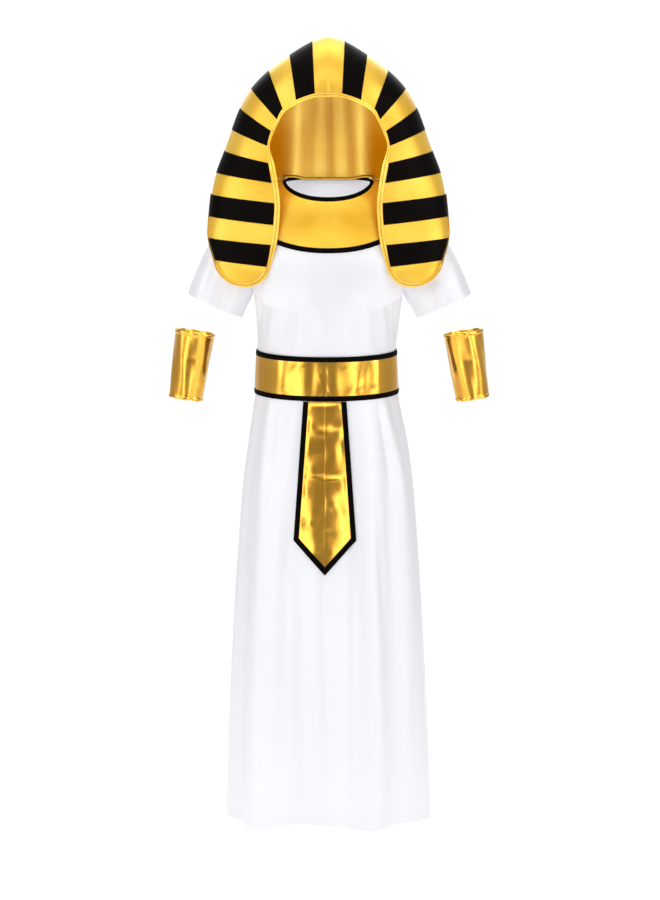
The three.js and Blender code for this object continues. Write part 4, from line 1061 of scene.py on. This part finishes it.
def hood_grid(sign):
    """Half of the hood: its smooth grid, its dented grid, its normals and its rows' stations."""
    at = np.arange(len(HOOD_FACE) * STEPS - STEPS + 1) / STEPS
    at = np.insert(at, 1, SEAM_ROWS)
    face, outer = mirrored_spline(HOOD_FACE, at), spline(HOOD_OUTER, at)
    turn = math.pi / 2 * np.arange(FRONT_CELLS + 1)[None, :, None] / FRONT_CELLS
    out, deep = np.sin(turn), np.cos(turn)
    front = mix(face[:, None], outer[:, None], out)
    front[..., 1:2] = mix(outer[:, None, 1:2], face[:, None, 1:2], deep)
    rows = station_row(BACK_LAST) + 1
    turn = math.pi / 2 * np.arange(1, BACK_CELLS + 1)[None] / BACK_CELLS
    back = spline(HOOD_BACK, at[:rows])
    x = outer[:rows, :1] * np.cos(turn)
    y = mix(outer[:rows, 1:2], back[:, 1:2], np.sin(turn))
    z = mix(back[:, 2:], outer[:rows, 2:], np.cos(turn))
    over = mix(HEM_OVER_NECK, HEM_BESIDE_NECK, smoothstep(x, *HEM_STEPS))
    fall = (outer[rows - 1, 2] - HEM_BESIDE_NECK) * smoothstep(x, *HEM_FALLS)
    hem = mix(back[-1, 2], over, smoothstep(x, *HEM_RISES)) + fall
    near_hem = smoothstep(at[:rows, None], BACK_LAST - 1, BACK_LAST)
    y = y - 9 * smoothstep(x, 25, 58) * (1 - smoothstep(x, 80, 140)) * near_hem
    z = mix(z, hem + (z - z[-1:]) * (1 - near_hem), near_hem)
    behind = np.repeat(front[:, -1:], BACK_CELLS, axis=1)
    behind[:rows] = np.stack([x, y, z], axis=-1)
    grid = np.concatenate([front, behind], axis=1)
    grid[..., 0] = HOOD_X + sign * np.maximum(grid[..., 0], TOUCH)
    towards = grid + np.array([0, -20, -60])
    flat = grid_normals(grid[:, : FRONT_CELLS + 1], False, towards[:, : FRONT_CELLS + 1])
    full = grid_normals(grid[:rows], False, towards[:rows])
    normals = np.repeat(flat[:, -1:], grid.shape[1], axis=1)
    normals[:, : FRONT_CELLS + 1] = flat
    normals[:rows, FRONT_CELLS:] = full[:, FRONT_CELLS:]
    normals[0, FRONT_CELLS:] = (0, 0, 1)
    normals[0, :, 0] = 0
    normals[:rows, -1, 0] = 0
    normals = unit(normals)
    high = np.zeros(grid.shape[:2])
    column = np.arange(grid.shape[1])[None]
    for station, place, long, wide, lift in HOOD_DENTS:
        high += lift * bell(at[:, None], station, long) * bell(column, place, wide)
    high = mix(high, np.maximum(high, 0), smoothstep(column, FRONT_CELLS, FRONT_CELLS + 10))
    quiet = smoothstep(column, 0, 3) * smoothstep(at[:, None], 0, 0.4)
    sewn = -0.7 * np.exp(-((at[:, None] / 0.07) ** 2)) * smoothstep(column, 0, 1)
    return grid, grid + normals * (high * quiet + sewn)[..., None], normals, at


def binding_strip(grid, normals, at, sign):
    """Rolled binding round the face edge, the tip and the outer side of one lappet."""
    last = len(at) - 1
    up_to = station_row(9)
    tip = np.arange(4, FRONT_CELLS, 4)
    starts = np.concatenate([grid[:, 0], grid[last, tip], grid[last : up_to - 1 : -1, FRONT_CELLS]])
    outs = np.concatenate([normals[:, 0], normals[last, tip], normals[last : up_to - 1 : -1, FRONT_CELLS]])
    outer_side = len(BINDING_FACE) + (at[-1] - at[last : up_to - 1 : -1])
    place = np.concatenate([at, at[-1] + tip / FRONT_CELLS, outer_side])
    ends = mirrored_spline(BINDING_FACE + BINDING_OUTER, place)
    ends[:, 0] = HOOD_X + sign * np.maximum(ends[:, 0], TOUCH)
    across = np.linspace(0, 1, BINDING_COLUMNS)
    gap = 0.25 / np.linalg.norm(ends - starts, axis=1)[:, None, None]
    points = mix(starts[:, None], ends[:, None], mix(gap, 1, across[None, :, None]))
    turned = grid_normals(points, False, np.array([0, -1, 0]))
    out = unit(mix(outs[:, None], turned, across[None, :, None]))
    out[0, :, 0] = 0
    out = unit(out)
    run = strip_run(points[:, BINDING_MIDDLE])[:, None]
    pucker = 0.16 * np.sin(run * 2 * math.pi / BINDING_PUCKER) * (0.6 + 0.4 * np.sin(run / 31 + 1))
    body = np.sin(math.pi * np.clip(across, 0.02, 0.98))[None] ** 0.6
    outer = 0.2 + (1.6 + pucker) * body - 1.4 * bell(across, 0.5, 0.13)[None]
    inner = mix(-1.9, -0.9, across)[None] + np.zeros_like(outer)
    return points, out, inner, outer


def add_hood(side):
    """Half of the headdress with bands and binding; gives its smooth grid, normals and line of stitches."""
    smooth, grid, normals, at = hood_grid(SIDES[side])
    cells = np.ones((len(at) - 1, grid.shape[1] - 1), bool)
    cells[station_row(BACK_LAST) :, FRONT_CELLS:] = False
    hood = "hood_" + side + "_satin"
    cloth_piece(hood, grid, normals, -HOOD_WALL, 0, GOLD_SATIN, used=cells, nodes=["hood_" + side],
                slot="gold_satin", held="stretched", angle=50)
    for number, first in enumerate(BANDS):
        last = grid.shape[1] if first < BACK_LAST else FRONT_CELLS + 1
        rows = slice(station_row(first), station_row(first + 1) + 1)
        node = "band_%d_%s" % (number + 1, side)
        cloth_piece(node + "_satin", grid[rows, :last], normals[rows, :last], *BAND_WALL, BLACK_SATIN,
                    nodes=[node], slot="black_satin", held="laid", rests_on=[hood])
    points, out, inner, outer = binding_strip(grid, normals, at, SIDES[side])
    cloth_piece("hood_binding_" + side + "_roll", points, out, inner, outer, GOLD_ROLL,
                nodes=["hood_binding_" + side], slot="gold_binding")
    middle = BINDING_MIDDLE
    return smooth, normals, points[:, middle] + out[:, middle] * (outer[:, middle, None] + THREAD_LIFT)


hoods = {side: add_hood(side) for side in SIDES}

# Lining with soft upright folds: place aside, half width, height towards the face
LINING_FOLDS = [
    (-64, 11, 1.8), (-50, 5, 0.9), (-38, 6, -0.6), (-13, 7, 2.2), (8, 4, -0.7), (24, 7, 2.4), (42, 6, -0.6),
    (56, 5, 0.9), (68, 11, 1.8), (-86, 8, 1.2), (88, 8, 1.2),
]
# Painted highlight bands of the lining's sheen: place aside, half width, strength
LINING_HIGHLIGHT_BANDS = [
    (-50, 7, 0.8), (-34, 8, 0.2), (-14, 9, 0.45), (-4, 3, 0.3), (14, 5, 0.25), (24, 8, 0.5), (54, 7, 0.8),
]
LINING_FIRST = FRONT_CELLS + 8
LINING_BEHIND, LINING_WALL = 2.7, 0.6
LINING_PUCKER = 7.0


def paint_lining_light_and_shade(piece):
    """Painted highlight bands, a painted highlight on the seam between painted shade, painted shade towards
    the sides and a painted highlight on the hem, as the attribute sheen.
    """
    places = np.empty(len(piece.data.vertices) * 3)
    piece.data.vertices.foreach_get("co", places)
    x, _, z = (places.reshape(-1, 3) / MM).T
    # Painted highlight bands, fading to half towards the crown
    fade = 1 - 0.5 * smoothstep(z, 70, 150)
    leaning = x + 0.03 * (z - 80) * np.sign(x)
    painted_light = sum(strength * bell(leaning, place, wide) for place, wide, strength in LINING_HIGHLIGHT_BANDS)
    # Painted highlight on the seam, with painted shade beside it
    seam = 0.55 * bell(x, 0, 1.6) - 0.3 * bell(x, 0, 5)
    # Painted shade towards the sides, lighter in the middle
    middle = 0.24 * (1 - smoothstep(np.abs(x), 56, 84))
    # Painted highlight along the hem
    hem = 0.5 * (1 - smoothstep(z, 11, 15))
    # All the painted highlights and painted shade together, stored as the attribute sheen
    light = middle + painted_light * fade + seam + hem
    layer = piece.data.attributes.new("sheen", "FLOAT", "POINT")
    layer.data.foreach_set("value", np.clip(light, 0, 1).astype(np.float32))


def add_lining(side):
    """Half of the lining behind the face opening, with a puckered seam over the crown."""
    grid, normals, _ = hoods[side]
    rows = slice(0, station_row(BACK_LAST) + 1)
    points, out = grid[rows, LINING_FIRST:], normals[rows, LINING_FIRST:]
    lift = np.zeros(points.shape[:2])
    for place, wide, high in LINING_FOLDS:
        lift += high * bell(points[..., 0], place, wide)
    row = np.arange(len(points))[:, None]
    lift *= 1 - 0.7 * smoothstep(row, len(points) - 14, len(points) - 1)
    lift = np.clip(lift + 1.2, 0.4, 5) * smoothstep(row, 2, 14)
    run, _ = flat_places(points)
    pucker = 0.3 + 0.18 * np.sin(run * 2 * math.pi / LINING_PUCKER + np.sin(run / 17))
    lift = lift + pucker * bell(row, 2, 1.2) - 0.25 * (row == 0)
    outer = -LINING_BEHIND - lift
    lining = cloth_piece("hood_lining_" + side + "_satin", points, out, outer - LINING_WALL, outer,
                         GOLD_LINING, nodes=["hood_lining_" + side], slot="gold_lining", held="hung",
                         rests_on=["hood_" + side + "_satin"])
    paint_lining_light_and_shade(lining)


for side in SIDES:
    add_lining(side)

# Wrist cuffs

CUFF_LENGTH, CUFF_TOP_RADIUS, CUFF_BOTTOM_RADIUS, CUFF_HEM = 113.0, 32.8, 27.2, 5.0
CUFF_TILT = math.radians(8.3)
CUFF_CENTRE = {"left": (-227.5, -294.8), "right": (233.0, -294.9)}
# Creases of the cuffs: run round the cuff, down, half width, half length, height, lean
CUFF_CREASES = {
    "left": [
        (150, 44, 26, 6, -0.3, 0), (124, 56, 8, 70, 0.9, 0.02), (143, 60, 7, 70, -0.9, -0.02),
        (166, 50, 8, 70, 1.1, 0), (106, 60, 7, 60, -0.8, 0), (186, 56, 6, 60, -0.7, 0),
        (92, 56, 7, 60, 0.8, 0), (40, 56, 8, 60, 0.9, 0), (66, 56, 7, 60, -0.9, 0),
    ],
    "right": [
        (142, 46, 26, 6, -0.3, 0), (118, 56, 8, 70, 1.0, 0.02), (138, 60, 7, 70, -0.9, -0.02),
        (158, 50, 8, 70, 1.0, 0), (100, 60, 7, 60, -0.8, 0), (178, 56, 6, 60, -0.8, 0),
        (88, 56, 7, 60, 0.8, 0), (36, 56, 8, 60, 0.9, 0), (62, 56, 7, 60, -0.9, 0),
    ],
}
CUFF_ROWS, CUFF_HEM_ROWS, CUFF_COLUMNS = 46, 6, 112
CUFF_FLATNESS, CUFF_WALL = 0.94, 0.9


def cuff_grid(side):
    """Grid and normals of a cuff from its wide end to its narrow end, with both hems."""
    sign = SIDES[side]
    mid_x, mid_z = CUFF_CENTRE[side]
    lower = CUFF_LENGTH - CUFF_HEM
    top = np.linspace(0, CUFF_HEM, CUFF_HEM_ROWS)
    rows = np.linspace(CUFF_HEM + 0.6, lower - 0.6, CUFF_ROWS)
    down = np.concatenate([top, rows, np.linspace(lower, CUFF_LENGTH, CUFF_HEM_ROWS)])[:, None]
    turn = 2 * math.pi * np.arange(CUFF_COLUMNS)[None] / CUFF_COLUMNS
    hem = ((down <= CUFF_HEM) | (down >= lower)) * 1.0
    roll = 0.5 * np.sin(math.pi * np.where(down <= CUFF_HEM, down, down - lower) / CUFF_HEM) * hem
    rippled = bell(np.minimum(down, CUFF_LENGTH - down), 0, 6)
    radius = mix(CUFF_TOP_RADIUS, CUFF_BOTTOM_RADIUS, down / CUFF_LENGTH) + 0.5 * hem + roll
    radius = radius + 0.36 * np.sin(4 * turn + 0.6) * (1 - hem)
    radius = radius + 0.3 * np.sin(11 * turn + 2 * np.sin(2 * turn)) * rippled
    along = CUFF_LENGTH / 2 - down + 0.6 * np.sin(9 * turn + np.sin(3 * turn)) * rippled
    x, y = radius * np.cos(turn), radius * np.sin(turn) * CUFF_FLATNESS
    tilt_cos, tilt_sin = math.cos(CUFF_TILT), math.sin(CUFF_TILT)
    leaned_x = mid_x + x * tilt_cos - sign * along * tilt_sin
    leaned_z = mid_z + along * tilt_cos + sign * x * tilt_sin
    points = np.stack([leaned_x, y, leaned_z], axis=-1)
    normals = grid_normals(points, True, points * np.array([0, 1, 0]))
    points = creased(points, normals, CUFF_CREASES[side], True)
    return points, grid_normals(points, True, points * np.array([0, 1, 0]))


def add_cuff(side):
    """Foil tube round one wrist."""
    points, normals = cuff_grid(side)
    cuff = cloth_piece("cuff_" + side + "_foil", points, normals, -CUFF_WALL, 0, GOLD_FOIL, closed=True,
                       nodes=["cuff_" + side], slot="gold_lame", held="stretched")
    cuff.visible_glossy = False


for side in SIDES:
    add_cuff(side)

# Stitches


def stitch_tree():
    """Puts one stitch at each step of a line: a grain of thread that lies along it."""
    tree = bpy.data.node_groups.new("stitch_row", "GeometryNodeTree")
    tree.interface.new_socket("Geometry", in_out="INPUT", socket_type="NodeSocketGeometry")
    for name in ("Pitch", "Stitch Length", "Thread Radius"):
        tree.interface.new_socket(name, in_out="INPUT", socket_type="NodeSocketFloat")
    tree.interface.new_socket("Seed", in_out="INPUT", socket_type="NodeSocketInt")
    tree.interface.new_socket("Thread", in_out="INPUT", socket_type="NodeSocketMaterial")
    tree.interface.new_socket("Geometry", in_out="OUTPUT", socket_type="NodeSocketGeometry")
    nodes, links = tree.nodes, tree.links
    inside, outside = nodes.new("NodeGroupInput"), nodes.new("NodeGroupOutput")
    line = nodes.new("GeometryNodeMeshToCurve")
    links.new(inside.outputs["Geometry"], line.inputs["Mesh"])
    steps = nodes.new("GeometryNodeResampleCurve")
    steps.mode = "LENGTH"
    links.new(line.outputs["Curve"], steps.inputs["Curve"])
    links.new(inside.outputs["Pitch"], steps.inputs["Length"])
    along = nodes.new("GeometryNodeInputTangent")
    turn = nodes.new("FunctionNodeAlignRotationToVector")
    turn.axis = "Z"
    links.new(along.outputs["Tangent"], turn.inputs["Vector"])
    grain = nodes.new("GeometryNodeMeshUVSphere")
    grain.inputs["Segments"].default_value = 6
    grain.inputs["Rings"].default_value = 4
    grain.inputs["Radius"].default_value = 1.0
    half = nodes.new("ShaderNodeMath")
    half.operation = "MULTIPLY"
    half.inputs[1].default_value = 0.5
    links.new(inside.outputs["Stitch Length"], half.inputs[0])
    size = nodes.new("ShaderNodeCombineXYZ")
    for axis in ("X", "Y"):
        links.new(inside.outputs["Thread Radius"], size.inputs[axis])
    links.new(half.outputs[0], size.inputs["Z"])
    uneven = nodes.new("FunctionNodeRandomValue")
    uneven.data_type = "FLOAT"
    uneven.inputs[2].default_value = 0.86
    uneven.inputs[3].default_value = 1.0
    links.new(inside.outputs["Seed"], uneven.inputs["Seed"])
    scaled = nodes.new("ShaderNodeVectorMath")
    scaled.operation = "SCALE"
    links.new(size.outputs[0], scaled.inputs[0])
    links.new(uneven.outputs[1], scaled.inputs["Scale"])
    copies = nodes.new("GeometryNodeInstanceOnPoints")
    links.new(steps.outputs["Curve"], copies.inputs["Points"])
    links.new(grain.outputs["Mesh"], copies.inputs["Instance"])
    links.new(turn.outputs["Rotation"], copies.inputs["Rotation"])
    links.new(scaled.outputs[0], copies.inputs["Scale"])
    real = nodes.new("GeometryNodeRealizeInstances")
    links.new(copies.outputs["Instances"], real.inputs["Geometry"])
    painted = nodes.new("GeometryNodeSetMaterial")
    links.new(real.outputs["Geometry"], painted.inputs["Geometry"])
    links.new(inside.outputs["Thread"], painted.inputs["Material"])
    links.new(painted.outputs["Geometry"], outside.inputs["Geometry"])
    return tree


STITCH_ROW = stitch_tree()
STITCH_SEED = 7


def stitched(name, lines, thread, pitch, length, radius):
    """Rows of stitches along lines of points in millimetres, as one mesh."""
    verts, edges = [], []
    for line in lines:
        edges += [(len(verts) + k, len(verts) + k + 1) for k in range(len(line) - 1)]
        verts += (np.asarray(line) * MM).tolist()
    mesh = bpy.data.meshes.new(name)
    mesh.from_pydata(verts, edges, [])
    piece = bpy.data.objects.new(name, mesh)
    bpy.context.scene.collection.objects.link(piece)
    sewn = piece.modifiers.new("stitches", "NODES")
    sewn.node_group = STITCH_ROW
    sizes = {"Pitch": pitch * MM, "Stitch Length": length * MM, "Thread Radius": radius * MM}
    values = {**sizes, "Seed": STITCH_SEED, "Thread": thread}
    for item in STITCH_ROW.interface.items_tree:
        if item.in_out == "INPUT" and item.name in values:
            sewn[item.identifier] = values[item.name]
    made = bpy.data.meshes.new_from_object(piece.evaluated_get(bpy.context.evaluated_depsgraph_get()))
    piece.modifiers.remove(sewn)
    piece.data = made
    made.polygons.foreach_set("use_smooth", [True] * len(made.polygons))
    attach(piece, "root")


def body_line(row, is_front, out):
    """Line round half the robe at a row, a little above its cloth."""
    near = np.array([row - 0.05, row, row + 0.05])
    grid = body_rings(near, is_front)
    return grid[1] + panel_normals(grid, near)[1] * out


white_rows = [body_line(ROW_HEM - 0.2, is_front, THREAD_LIFT) for is_front in (True, False)] + sleeve_rows
gold_rows = [line for _, _, line in hoods.values()]
stitched("stitches_white", white_rows, WHITE_THREAD, pitch=3.0, length=2.5, radius=0.28)
stitched("stitches_gold", gold_rows, GOLD_THREAD, pitch=2.5, length=2.4, radius=0.55)
stitched("stitches_black", black_rows, BLACK_THREAD, pitch=2.8, length=2.3, radius=0.25)

# Floor

FLOOR_Z = -1.24
FLOOR_HALF = 3.4


FLOOR_TONE, FLOOR_GLOW = 0.96, 0.3


def add_floor():
    """Plain pale floor that runs into the background."""
    mesh = bpy.data.meshes.new("floor")
    half = FLOOR_HALF
    corners = [(-half, -half, FLOOR_Z), (half, -half, FLOOR_Z), (half, half, FLOOR_Z), (-half, half, FLOOR_Z)]
    mesh.from_pydata(corners, [], [(0, 1, 2, 3)])
    material = bpy.data.materials.new("pale_floor")
    material.use_nodes = True
    shader = material.node_tree.nodes["Principled BSDF"]
    shader.inputs["Base Color"].default_value = (FLOOR_TONE, FLOOR_TONE, FLOOR_TONE, 1)
    shader.inputs["Roughness"].default_value = 0.9
    shader.inputs["Emission Color"].default_value = (1, 1, 1, 1)
    shader.inputs["Emission Strength"].default_value = FLOOR_GLOW
    mesh.materials.append(material)
    floor = bpy.data.objects.new("floor", mesh)
    bpy.context.scene.collection.objects.link(floor)


add_floor()
